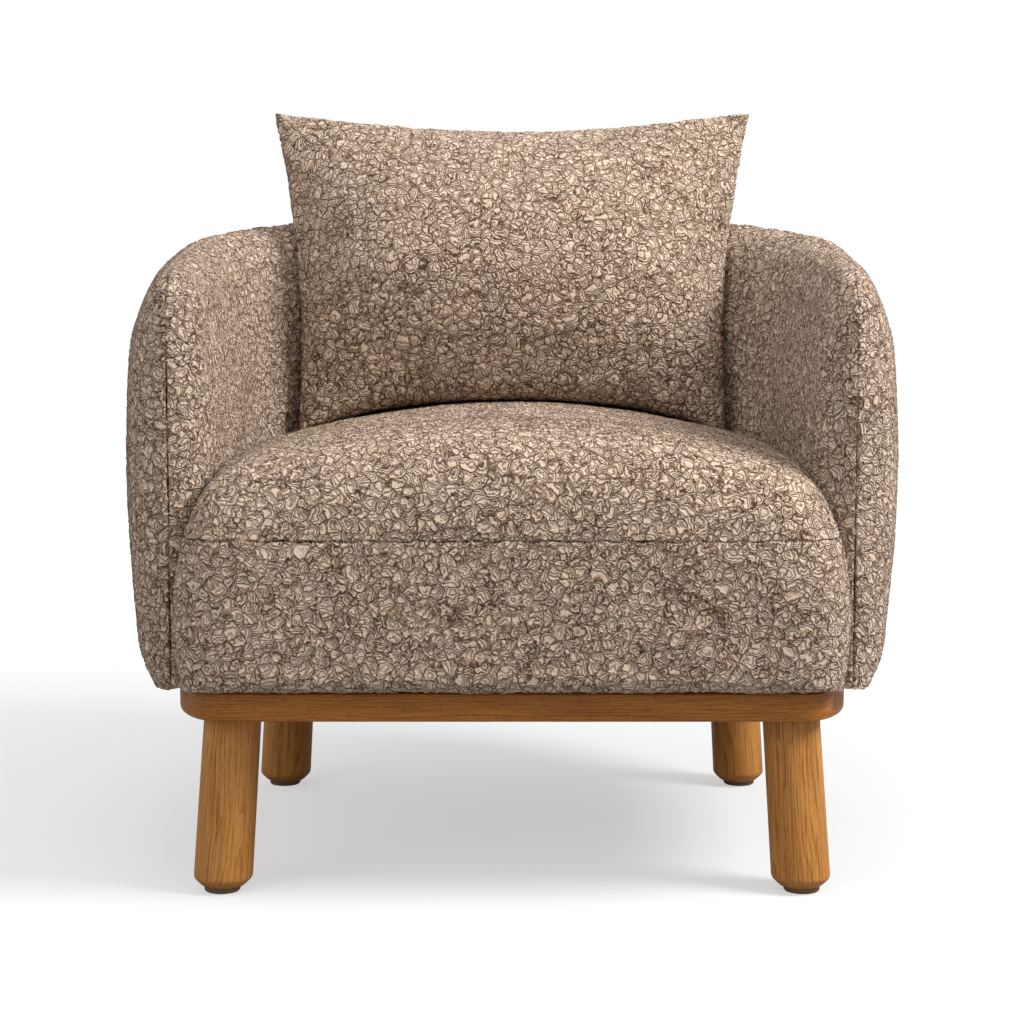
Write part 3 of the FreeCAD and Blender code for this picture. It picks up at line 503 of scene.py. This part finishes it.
def wall_outline(out, inner, top, low, lean):
    """Across the wall, as (outward, height) points: from the foot up the flank, over and down."""
    widest = low + 0.55 * (top - low)
    foot_out = max(foot_share * out, foot_least)
    dip = foot_dip * min((foot_out - foot_share * out) / 5, 1)
    foot, flank_low = (foot_out, low - dip), (0.81 * out, low + flank_rise)
    flank_high, shoulder = (0.92 * out, top - flank_drop), (0.46 * out, top - shoulder_drop)
    crest, inner_high = (lean, top), (-0.70 * inner, top - inner_drop)
    inner_low, inner_foot = (-inner, widest - 45), (-inner, low)
    points = np.concatenate([
        arc_points(foot, (0.65 * out, low + 13), flank_low, 24),
        arc_points(flank_low, (out, widest), flank_high, 80),
        arc_points(flank_high, (0.76 * out, top - 60), shoulder, 36),
        arc_points(shoulder, (0.5 * (0.46 * out + lean) + 2, top - 6), crest, 24),
        arc_points(crest, (0.45 * lean - 0.41 * inner, top - 14), inner_high, 40),
        arc_points(inner_high, (-0.88 * inner, top - inner_mid_drop), inner_low, 50),
        line_points(inner_low, inner_foot, 70),
        line_points(inner_foot, foot, 30),
        [foot],
    ])
    return softened(even_points(points, 460), 4)


def wall_sides(run):
    """Grids of points for the outer and inner covers, from the seam over the crest downwards."""
    count = len(run["x"])
    outer_rows, inner_rows = [], []
    for i in range(count):
        low = run["bottom"][i]
        outline = wall_outline(run["out"][i], run["in"][i], run["crest"][i], low, run["lean"][i])
        top = int(np.argmax(outline[:, 1]))
        start = top - 60 + int(np.argmin(np.abs(outline[top - 60:top + 60, 0])))
        sides = (outline[start::-1], outline[start:])
        for rows, side in zip((outer_rows, inner_rows), sides):
            side = side.copy()
            side[0, 0] = 0.0
            near = outline[start + 1:start - 2:-1]
            side[0, 1] = np.interp(0, near[:, 0], near[:, 1])
            rows.append(side)
    grids = []
    for rows in (outer_rows, inner_rows):
        length = np.median([run_length(side)[-1] for side in rows])
        at = graded(length, grid_step) / length
        around = run_length(np.stack([run["x"], run["y"]], 1))
        lines = []
        for i, side in enumerate(rows):
            s = run_length(side)
            strayed = np.interp(at * s[-1], s, side[:, 0]) + seam_wander(around[i], at * s[-1])
            n = strayed * run["swell"][i]
            z = np.interp(at * s[-1], s, side[:, 1])
            lines.append(np.stack([run["x"][i] + run["nx"][i] * n, run["y"][i] + run["ny"][i] * n, z], 1))
        grids.append(np.array(lines))
    return grids


def whole_run(grid):
    """The right half and its mirror image as one grid, nose to nose."""
    left = grid[-2::-1].copy()
    left[:, :, 0] *= -1
    return np.concatenate([grid, left])


def with_lips(grid, facing):
    """Turns the cloth in along the grid's first column, and along its first and last rows."""
    normal = grid_normals(grid) * facing
    across = np.linalg.norm(np.diff(grid, axis=1), axis=2)
    from_seam = np.concatenate([np.zeros((len(grid), 1)), np.cumsum(across, 1)], 1)
    steps = np.linalg.norm(np.diff(grid, axis=0), axis=2)
    from_first = np.concatenate([np.zeros((1, grid.shape[1])), np.cumsum(steps, 0)])
    from_last = np.concatenate([np.cumsum(steps[::-1], 0)[::-1], np.zeros((1, grid.shape[1]))])
    distance = np.minimum(from_seam, np.minimum(from_first, from_last))
    turned = grid - normal * lip_depth(distance)[:, :, None]
    turned = np.concatenate([turned[:, :1] - normal[:, :1] * seam_depth, turned], 1)
    normal = np.concatenate([normal[:, :1], normal], 1)
    first = turned[:1] - normal[:1] * seam_depth
    last = turned[-1:] - normal[-1:] * seam_depth
    return np.concatenate([first, turned, last])


run = wall_run()
outer_half, inner_half = wall_sides(run)
outer_grid = whole_run(outer_half)
inner_grid = whole_run(inner_half)


def shell_piece(name, grid, inward, stands_for):
    normal = grid_normals(grid)
    facing = np.sign(normal[len(grid) // 2, grid.shape[1] // 2, 1]) * (-1 if inward else 1)
    shaped = with_lips(grid, facing)
    faces = grid_faces(*shaped.shape[:2])
    if facing < 0:
        faces = faces[:, ::-1]
    piece = make_piece(name, shaped.reshape(-1, 3), faces)
    raise_yarn(piece)
    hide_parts(*stands_for)
    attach(piece, "chair")


shell_piece("shell_outer_cloth", outer_grid, False, [
    "tub_cover_outer", "arm_outer_foam_left", "arm_outer_foam_right", "back_outer_foam",
    "arm_top_foam_left", "arm_top_foam_right", "back_top_foam",
])
shell_piece("shell_inner_cloth", inner_grid, True, [
    "tub_cover_inner", "arm_inner_foam_left", "arm_inner_foam_right", "back_inner_foam",
])


# The seat: sections across it give its half width at a height and its height at a place

seat_half = 333.0
seat_clear = 1.2
seat_back_end = 192.0
seat_run = 330.0
front_steps = [0, 2, 6, 14, 25, 40, 62, 92, 135, 300, 450, 585]
width_shares = [0.815, 0.885, 0.930, 0.965, 0.985, 0.996, 1.0, 1.0, 1.0, 0.97, 0.86, 0.62]
crown_drops = [96, 80, 60, 40, 26, 15, 7, 2, 0, 0, 5, 8]
foot_lifts = [18, 11, 6, 2.5, 0.5, 0, 0, 0, 0, 0, 0, 0]


def seat_outline(y):
    """Right half of the section across the seat, from its foot to the middle of its crown."""
    step = math.sqrt(max(y - front_y, 0))
    marks = np.sqrt(front_steps)
    half = seat_half * monotone_curve(step, marks, width_shares)
    top = seat_height - monotone_curve(step, marks, crown_drops)
    low = wall_bottom + monotone_curve(step, marks, foot_lifts)
    side_z = low + 0.58 * (top - low)
    shoulder_z = top - 42 * half / seat_half
    mid_z = 0.5 * (side_z + shoulder_z)
    points = np.concatenate([
        arc_points((half - 8, low), (half, low + 0.36 * (top - low)), (half - 8, side_z), 60),
        arc_points((half - 8, side_z), (half - 20, mid_z), (half - 40, shoulder_z), 40),
        arc_points((half - 40, shoulder_z), (0, top), (40 - half, shoulder_z), 240)[:121],
    ])
    return softened(even_points(points, 260), 9)


seat_ys = front_y + np.linspace(0, math.sqrt(seat_back_end - front_y), 260) ** 2
seat_outlines = [seat_outline(y) for y in seat_ys]


def wall_limit(ys):
    """How far out the seat may go beside the wall's inner face."""
    face_x = run["x"] - run["nx"] * run["in"] * run["swell"]
    face_y = run["y"] - run["ny"] * run["in"] * run["swell"]
    order = np.argsort(face_y)
    limit = np.interp(ys, face_y[order], face_x[order]) - seat_clear
    return np.where(ys < nose_y - seat_clear, 1e3, limit)


seat_limits = wall_limit(seat_ys)


def seat_contour(z):
    """Right half of the seat's outline at a height, from its front's middle to its back's middle."""
    xs, ys = [], []
    for y, limit, outline in zip(seat_ys, seat_limits, seat_outlines):
        if outline[0, 1] <= z <= outline[-1, 1]:
            xs.append(min(np.interp(z, outline[:, 1], outline[:, 0]), limit))
            ys.append(y)
    points = np.stack([xs, ys], 1)
    return np.concatenate([[[0, points[0, 1]]], points, [[0, points[-1, 1]]]])


def seat_height_at(points):
    """Height of the seat's crown over places on the right half."""
    heights = np.zeros(len(points))
    index = np.clip(np.searchsorted(seat_ys, points[:, 1]) - 1, 0, len(seat_ys) - 2)
    share = np.clip((points[:, 1] - seat_ys[index]) / (seat_ys[index + 1] - seat_ys[index]), 0, 1)
    for i in np.unique(index):
        here = index == i
        rises = []
        for outline in (seat_outlines[i], seat_outlines[i + 1]):
            widest = int(np.argmax(outline[:, 0]))
            upper = outline[widest:][::-1]
            rises.append(np.interp(points[here, 0], upper[:, 0], upper[:, 1]))
        heights[here] = rises[0] * (1 - share[here]) + rises[1] * share[here]
    return heights


def seat_columns(contour):
    """Evenly spaced columns round the contour."""
    count = int(run_length(contour)[-1] / grid_step)
    return even_points(contour, count)


seam_line = seat_columns(seat_contour(seat_seam_height))
column_count = len(seam_line)


def seat_front_grid():
    """From the seam down: rows of contours with the same columns."""
    drop = graded(seat_seam_height - wall_bottom - 0.6, grid_step)
    rows = [seam_line]
    for d in drop[1:]:
        rows.append(even_points(seat_contour(seat_seam_height - d), column_count))
    plan = np.array(rows)
    heights = np.repeat((seat_seam_height - drop)[:, None, None], column_count, 1)
    heights = heights + seam_wander(run_length(seam_line)[None, :, None], drop[:, None, None])
    return np.concatenate([plan, heights], 2)


def seat_top_grid():
    """From the seam up and over towards a spine along the seat's middle."""
    spine_y = np.clip(seam_line[:, 1], -215, 60)
    spine = np.stack([0.0 * seam_line[:, 0], spine_y], 1)
    rows = graded(1.0, grid_step / seat_run, fine=[f / seat_run for f in lip_steps])
    paths, beside = [], []
    for start, end in zip(seam_line, spine):
        share = np.linspace(0, 1, 240)[:, None] ** 1.7
        plan = start + (end - start) * share
        heights = seat_height_at(plan)
        heights[0] = seat_seam_height
        line = np.column_stack([plan, np.maximum(heights, seat_seam_height)])
        s = run_length(line)
        paths.append(np.stack([np.interp(rows * s[-1], s, line[:, i]) for i in range(3)], 1))
        beside.append(rows * s[-1])
    grid = np.array(paths).transpose(1, 0, 2)
    grid[:, :, 2] += seam_wander(run_length(seam_line)[None, :], np.array(beside).T)
    return grid


def seat_piece(name, half_grid, stands_for):
    """Mirrors a half grid, turns in its seam and closes it round."""
    left = half_grid[:, ::-1].copy()[:, 1:-1]
    left[:, :, 0] *= -1
    grid = np.concatenate([half_grid, left], 1)
    wrapped = np.concatenate([grid[:, -1:], grid, grid[:, :1]], 1)
    normal = grid_normals(wrapped)[:, 1:-1]
    facing = -np.sign(normal[3, 0, 1])
    steps = np.linalg.norm(np.diff(grid, axis=0), axis=2)
    distance = np.concatenate([np.zeros((1, grid.shape[1])), np.cumsum(steps, 0)])
    shaped = grid - normal * facing * lip_depth(distance)[:, :, None]
    shaped = np.concatenate([shaped[:1] - normal[:1] * facing * seam_depth, shaped])
    faces = grid_faces(*shaped.shape[:2], closed=True)
    if facing < 0:
        faces = faces[:, ::-1]
    piece = make_piece(name, shaped.reshape(-1, 3), faces)
    tidy = bmesh.new()
    tidy.from_mesh(piece.data)
    bmesh.ops.remove_doubles(tidy, verts=tidy.verts, dist=0.05 * MM)
    tidy.to_mesh(piece.data)
    tidy.free()
    raise_yarn(piece)
    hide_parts(*stands_for)
    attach(piece, "chair")


seat_piece("seat_front_cloth", seat_front_grid(), ["seat_cover_front", "seat_front_foam"])
seat_piece("seat_top_cloth", seat_top_grid(), ["seat_cover_top", "seat_foam"])


# The loose cushion: two crowned panels sewn along a knife edge

cushion_rake = math.radians(16.5)
cushion_origin = np.array([0, 74.5, 429.0])
cushion_up = np.array([0, math.sin(cushion_rake), math.cos(cushion_rake)])
cushion_front = np.array([0, -math.cos(cushion_rake), math.sin(cushion_rake)])
half_bottom, half_waist, half_top = 244.0, 243.0, 277.0
waist_share = 0.36
ear_height = 378.0
top_sag = 22.0
bottom_rise = 40.0
cushion_thick = 188.0
rim_height = 9.0
pucker_depth = 1.6
swell_marks = [0, 0.04, 0.12, 0.25, 0.45, 0.62, 0.77, 0.90, 0.97, 1.0]
swell_shares = [0, 0.28, 0.56, 0.83, 1.0, 0.95, 0.76, 0.45, 0.20, 0]
rest_gap = 2.2
sink_reach = 36.0
pressure = 4.0
swell_limit = 9.0
settle_frames = 20
edge_on = 0.12


def cushion_half_at(up):
    waist = waist_share * ear_height
    low_slope = (half_waist - half_bottom) / waist
    high_slope = (half_top - half_waist) / (ear_height - waist)
    bow = (high_slope - low_slope) / ear_height
    return half_bottom + low_slope * up + bow * up * (up - waist)


def rested_on_seat(sheet):
    """Lets the cushion's underside sink until it lies flat on the seat."""
    flat = sheet.reshape(-1, 3).copy()
    above = flat[:, 2] - seat_height_at(np.abs(flat[:, :2] * (1, 0)) + flat[:, :2] * (0, 1))
    sink = (above - rest_gap) * np.exp(-(np.maximum(above, 0) / sink_reach) ** 2)
    flat[:, 2] -= np.where(above > rest_gap, sink, 0)
    return flat.reshape(sheet.shape)


def cushion_panels():
    columns, rows = 88, 64
    s = np.sin(np.linspace(-1, 1, columns) * math.pi / 2) * 0.35 + np.linspace(-1, 1, columns) * 0.65
    t = np.sin(np.linspace(-1, 1, rows) * math.pi / 2) * 0.35 + np.linspace(-1, 1, rows) * 0.65
    s, t = np.meshgrid(s, 0.5 + 0.5 * t)
    foot = bottom_rise * (1 - monotone_curve(np.abs(s), [0, 0.5, 0.75, 1.0], [0, 0.0, 0.3, 1.0]))
    crown = ear_height - top_sag * (1 - s**2)
    up = foot + t * (crown - foot)
    x = s * cushion_half_at(up)
    swelling = monotone_curve(t, swell_marks, swell_shares)
    edge = np.minimum(np.minimum(1 - np.abs(s), 1.0) * 250, np.minimum(t, 1 - t) * 330)
    rim = rim_height * np.sqrt(1 - np.exp(-np.maximum(edge, 0) / 5))
    dome = (cushion_thick / 2 - rim_height) * swelling * (1 - np.abs(s) ** 2.8)
    wrinkle = np.sin(np.arctan2(t - 0.5, s) * 46 + 3 * np.sin(7 * s + 5 * t))
    puckers = pucker_depth * np.exp(-edge / 38) * wrinkle * (1 - np.exp(-edge / 7))
    thick = rim + dome + puckers
    sheets = []
    for side in (1, -1):
        sheet = cushion_origin + x[..., None] * np.array([1.0, 0, 0]) + up[..., None] * cushion_up
        sheet = sheet + (side * thick)[..., None] * cushion_front
        sheets.append(rested_on_seat(sheet))
    return sheets


def settled_cloth(piece):
    """Blows the cushion up a little as cloth, its seam held and each point kept near its place."""
    mesh = piece.data
    start = np.array([v.co for v in mesh.vertices])
    normals = np.array([v.normal for v in mesh.vertices])
    held = piece.vertex_groups.new(name="held")
    facing = normals @ cushion_front
    for i, share in enumerate(facing):
        held.add([i], 1.0 if abs(share) < edge_on else 0.0, "REPLACE")
    cloth = piece.modifiers.new("cloth", "CLOTH")
    cloth.settings.use_pressure = True
    cloth.settings.uniform_pressure_force = pressure
    cloth.settings.effector_weights.gravity = 0
    cloth.settings.vertex_group_mass = "held"
    cloth.settings.shrink_min = -0.02
    cloth.point_cache.frame_start, cloth.point_cache.frame_end = 1, settle_frames
    for number in range(1, settle_frames + 1):
        bpy.context.scene.frame_set(number)
    blown = bpy.data.meshes.new_from_object(piece.evaluated_get(bpy.context.evaluated_depsgraph_get()))
    moved = np.array([v.co for v in blown.vertices]) - start
    bpy.context.scene.frame_set(1)
    piece.modifiers.clear()
    room = swell_limit * MM * np.where(facing > 0, 1.0, 0.0)
    above = start[:, 2] - cushion_origin[2] * MM
    room *= np.clip(above / 0.12 - 0.5, 0, 1)
    size = np.linalg.norm(moved, axis=1)
    moved *= (np.minimum(size, room) / np.maximum(size, 1e-9))[:, None]
    mesh.vertices.foreach_set("co", (start + moved).ravel())
    mesh.update()


def cushion_piece():
    front, back = cushion_panels()
    rows, columns = front.shape[:2]
    faces = grid_faces(rows, columns)
    points = np.concatenate([front.reshape(-1, 3), back.reshape(-1, 3)])
    piece = make_piece("cushion_cloth", points, np.concatenate([faces, faces[:, ::-1] + rows * columns]))
    tidy = bmesh.new()
    tidy.from_mesh(piece.data)
    bmesh.ops.remove_doubles(tidy, verts=tidy.verts, dist=0.05 * MM)
    bmesh.ops.recalc_face_normals(tidy, faces=tidy.faces)
    tidy.to_mesh(piece.data)
    tidy.free()
    settled_cloth(piece)
    finer = piece.modifiers.new("finer", "SUBSURF")
    finer.levels = finer.render_levels = 1
    raise_yarn(piece)
    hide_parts("cushion_cover", "cushion_insert")
    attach(piece, "cushion")


cushion_piece()


# Oak: the plinth and four legs

def store_grain(piece, places):
    stored = piece.data.attributes.new("grain_place", "FLOAT_VECTOR", "POINT")
    stored.data.foreach_set("vector", np.asarray(places, np.float32).ravel())


plinth_half = 350.0
plinth_back = 342.0
plinth_front_y = -343.0
plinth_corner = (53.0, 115.0)
plinth_taper = math.radians(6.8)
plinth_round = 3.0


def plinth_plan():
    """Outline of the plinth, counter-clockwise from the middle of its front."""
    a, b = plinth_corner
    join = math.atan(math.tan(plinth_taper) * b / a)
    join_y = plinth_front_y + b * (1 - math.sin(join))
    join_x = plinth_half - (bend_y - join_y) * math.tan(plinth_taper / 2)
    centre_x, centre_y = join_x - a * math.cos(join), plinth_front_y + b
    front = line_points((0, plinth_front_y), (centre_x, plinth_front_y), 40)
    turn = np.linspace(-math.pi / 2, -join, 60, endpoint=False)
    corner = np.stack([centre_x + a * np.cos(turn), centre_y + b * np.sin(turn)], 1)
    radius = (bend_y - join_y) / math.sin(plinth_taper)
    half_turn = plinth_taper / 2
    bow = (plinth_half - radius * (1 - math.cos(half_turn)), bend_y - radius * math.sin(half_turn))
    side = arc_points((join_x, join_y), bow, (plinth_half, bend_y), 40)
    turn = np.linspace(0, math.pi / 2, 140)
    bend = np.stack([plinth_half * np.cos(turn), bend_y + plinth_back * np.sin(turn)], 1)
    right = even_points(np.concatenate([front, corner, side, bend]), 420)
    left = right[-2:0:-1].copy()
    left[:, 0] *= -1
    return np.concatenate([right, left])


def plinth_piece():
    plan = plinth_plan()
    ahead = np.roll(plan, -1, 0) - np.roll(plan, 1, 0)
    outward = np.stack([ahead[:, 1], -ahead[:, 0]], 1)
    outward /= np.linalg.norm(outward, axis=1)[:, None]
    around = run_length(plan)
    around = np.where(around > around[-1] / 2, around - around[-1], around)
    turns = np.radians(np.arange(0, 91, 15))
    profile = [(plinth_round * (1 - math.sin(t)), plinth_round * (1 - math.cos(t))) for t in turns]
    low = [(inset, plinth_underside + rise) for inset, rise in profile]
    high = [(inset, plinth_top - rise) for inset, rise in profile[::-1]]
    rings, places = [], []
    for inset, z in low + high:
        ring = plan - outward * inset
        rings.append(np.column_stack([ring, np.full(len(ring), z)]))
        places.append(np.column_stack([np.full(len(ring), -inset), np.full(len(ring), z), around]))
    points = np.concatenate(rings)
    count = len(plan)
    faces = list(grid_faces(len(rings), count, closed=True))
    faces.append(list(range(count))[::-1])
    faces.append([(len(rings) - 1) * count + i for i in range(count)])
    piece = make_piece("oak_plinth", points, faces)
    store_grain(piece, np.concatenate(places))
    # The plinth takes the darker oak copy, painted shade from the seat's overhang.
    piece.data.materials.append(oak_shaded)
    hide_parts("plinth")
    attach(piece, "chair")


leg_feet = {"front": (289.5, -304.0), "back": (270.5, 176.8)}
leg_tops = {"front": (278.0, -291.6), "back": (259.0, 164.4)}
leg_radii = (29.5, 28.5)
foot_radius = 20.5
glide_height = 5.0


def leg_piece(end, side):
    """Round leg: level rings up a leaning axis, with a rounded bevel at the foot."""
    foot, top = np.array(leg_feet[end]), np.array(leg_tops[end])
    bevel = leg_radii[0] - foot_radius
    bevel_z = glide_height + bevel
    profile = [(glide_height, 0.0), (glide_height, foot_radius - 2.0)]
    profile += [(glide_height + 0.3, foot_radius - 0.8), (glide_height + 1.0, foot_radius + 0.5)]
    profile += [(glide_height + bevel * t, foot_radius + bevel * t) for t in (0.3, 0.5, 0.7, 0.84)]
    profile += [(bevel_z - 0.5, leg_radii[0] - 1.0), (bevel_z + 0.3, leg_radii[0] - 0.45),
                (bevel_z + 1.6, leg_radii[0] - 0.12), (bevel_z + 4, leg_radii[0])]
    stops = np.linspace(bevel_z + 10, plinth_underside, 24)
    share = (stops - bevel_z) / (plinth_underside - bevel_z)
    profile += [(z, leg_radii[0] + (leg_radii[1] - leg_radii[0]) * t) for z, t in zip(stops, share)]
    profile.append((plinth_underside, 0.0))
    turn = np.linspace(0, 2 * math.pi, 72, endpoint=False)
    rings, places = [], []
    for z, radius in profile:
        middle = foot + (top - foot) * max(z, bevel_z) / plinth_underside
        circle = np.stack([np.cos(turn), np.sin(turn)], 1) * max(radius, 0.05)
        level = np.full((len(turn), 1), z)
        rings.append(np.hstack([middle * (side, 1) + circle, level]))
        places.append(np.hstack([circle + (60 * side, 95 if end == "back" else 0), level]))
    points = np.concatenate(rings)
    faces = grid_faces(len(rings), len(turn), True)
    piece = make_piece(f"oak_leg_{end}_{'right' if side > 0 else 'left'}", points, faces)
    store_grain(piece, np.concatenate(places))
    piece.data.materials.append(oak)
    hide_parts(f"leg_{end}_{'right' if side > 0 else 'left'}")
    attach(piece, "chair")


plinth_piece()
for end in leg_feet:
    for side in (1, -1):
        leg_piece(end, side)

# Carried-over frame pieces

inner_finishes = [
    (("front_rail", "side_rail", "back_rail", "corner_blocks", "front_post", "side_post", "rear_post",
      "arm_rail", "back_top_rail"),
     plain_material("frame_timber", srgb(206, 176, 132), srgb(176, 140, 96), (8, 60, 8), 0.7)),
    (("arm_panel",),
     plain_material("panel_board", srgb(178, 150, 118), srgb(160, 132, 100), (3, 3, 3), 0.85)),
    (("seat_webbing", "back_webbing"),
     plain_material("webbing", srgb(58, 54, 50), srgb(92, 86, 78), (2, 2, 2), 0.8, relief=0.5)),
    (("dust_cover",), plain_material("lining", srgb(44, 42, 40), srgb(60, 57, 54), (1.5, 1.5, 1.5), 0.95)),
    (("leg_bolts", "leg_inserts", "plinth_screws", "zip_slider"),
     plain_material("zinc_steel", srgb(150, 148, 142), srgb(182, 180, 174), (4, 4, 4), 0.38,
                    metallic=1.0, relief=0.03)),
    (("foot_glides",), plain_material("glide_pad", srgb(96, 68, 48), srgb(112, 82, 58), (3, 3, 3), 0.6)),
    (("zip_tape",),
     plain_material("zip_tape", srgb(120, 98, 78), srgb(146, 122, 98), (1, 1, 1), 0.9, relief=0.3)),
]
for starts, material in inner_finishes:
    for name, node in nodes.items():
        if name.startswith(starts):
            node.data.materials.clear()
            node.data.materials.append(material)


# Camera, light and floor: metres, degrees and watts, the lens and the floor in millimetres

eye_back = 2.715
eye_height = 0.655
look_down = 6.5
lens = 86.8
studio_level = 0.56
backdrop_level = 1.0
# The floor's camera-only glow rises from glow_near close to the chair to glow_far, so the floor round the
# chair renders darker: painted shade.
glow_from, glow_to = 0.5, 2.2
glow_near, glow_far = 0.52, 0.8
floor_reach = 9e3
lights = [
    ("key", (2.1, -0.9, 2.2), 1.2, 96),
    ("top", (-0.2, -0.7, 2.7), 1.8, 20),
    ("fill", (-2.2, -2.2, 2.0), 2.0, 20),
]

scene = bpy.context.scene
camera = bpy.data.objects.new("camera", bpy.data.cameras.new("camera"))
camera.data.sensor_width = 36.0
camera.data.lens = lens
camera.location = (0, -eye_back, eye_height)
camera.rotation_euler = (math.radians(90 - look_down), 0, 0)
camera.data.clip_end = 60
scene.collection.objects.link(camera)
scene.camera = camera


def area_light(name, place, target, size, power):
    light = bpy.data.objects.new(name, bpy.data.lights.new(name, "AREA"))
    light.data.shape = "DISK"
    light.data.size = size
    light.data.energy = power
    light.location = place
    light.rotation_euler = (Vector(target) - Vector(place)).to_track_quat("-Z", "Y").to_euler()
    scene.collection.objects.link(light)


middle = (0, 0, 0.45)
for name, place, size, power in lights:
    area_light(name, place, middle, size, power)

world = bpy.data.worlds.new("studio")
scene.world = world
world.use_nodes = True
sky = Graph(world.node_tree)
background = world.node_tree.nodes["Background"]
background.inputs["Color"].default_value = (1, 1, 1, 1)
path = sky.node("ShaderNodeLightPath")
seen = sky.math("MAXIMUM", path.outputs["Is Camera Ray"],
                sky.math("MAXIMUM", path.outputs["Is Glossy Ray"], path.outputs["Is Transmission Ray"]))
sky.feed(background.inputs["Strength"], sky.blend(seen, studio_level, backdrop_level))

corners = [(-1, -1), (1, -1), (1, 1), (-1, 1)]
floor = make_piece("floor", [(x * floor_reach, y * floor_reach, 0) for x, y in corners], [(0, 1, 2, 3)])
paper, graph, shader = new_material("floor_paper")
shader.inputs["Base Color"].default_value = srgb(163, 164, 165)
shader.inputs["Roughness"].default_value = 0.9
shader.inputs["Specular IOR Level"].default_value = 0.0
shader.inputs["Emission Color"].default_value = (1, 1, 1, 1)
seen = graph.node("ShaderNodeLightPath").outputs["Is Camera Ray"]
spread = graph.vector("LENGTH", graph.node("ShaderNodeTexCoord").outputs["Object"])
# Weaker glow near the chair: painted shade on the floor round it.
glow = graph.remap(spread, glow_from, glow_to, glow_near, glow_far)
graph.feed(shader.inputs["Emission Strength"], graph.math("MULTIPLY", seen, glow))
floor.data.materials.append(paper)

scene.view_settings.view_transform = "Standard"
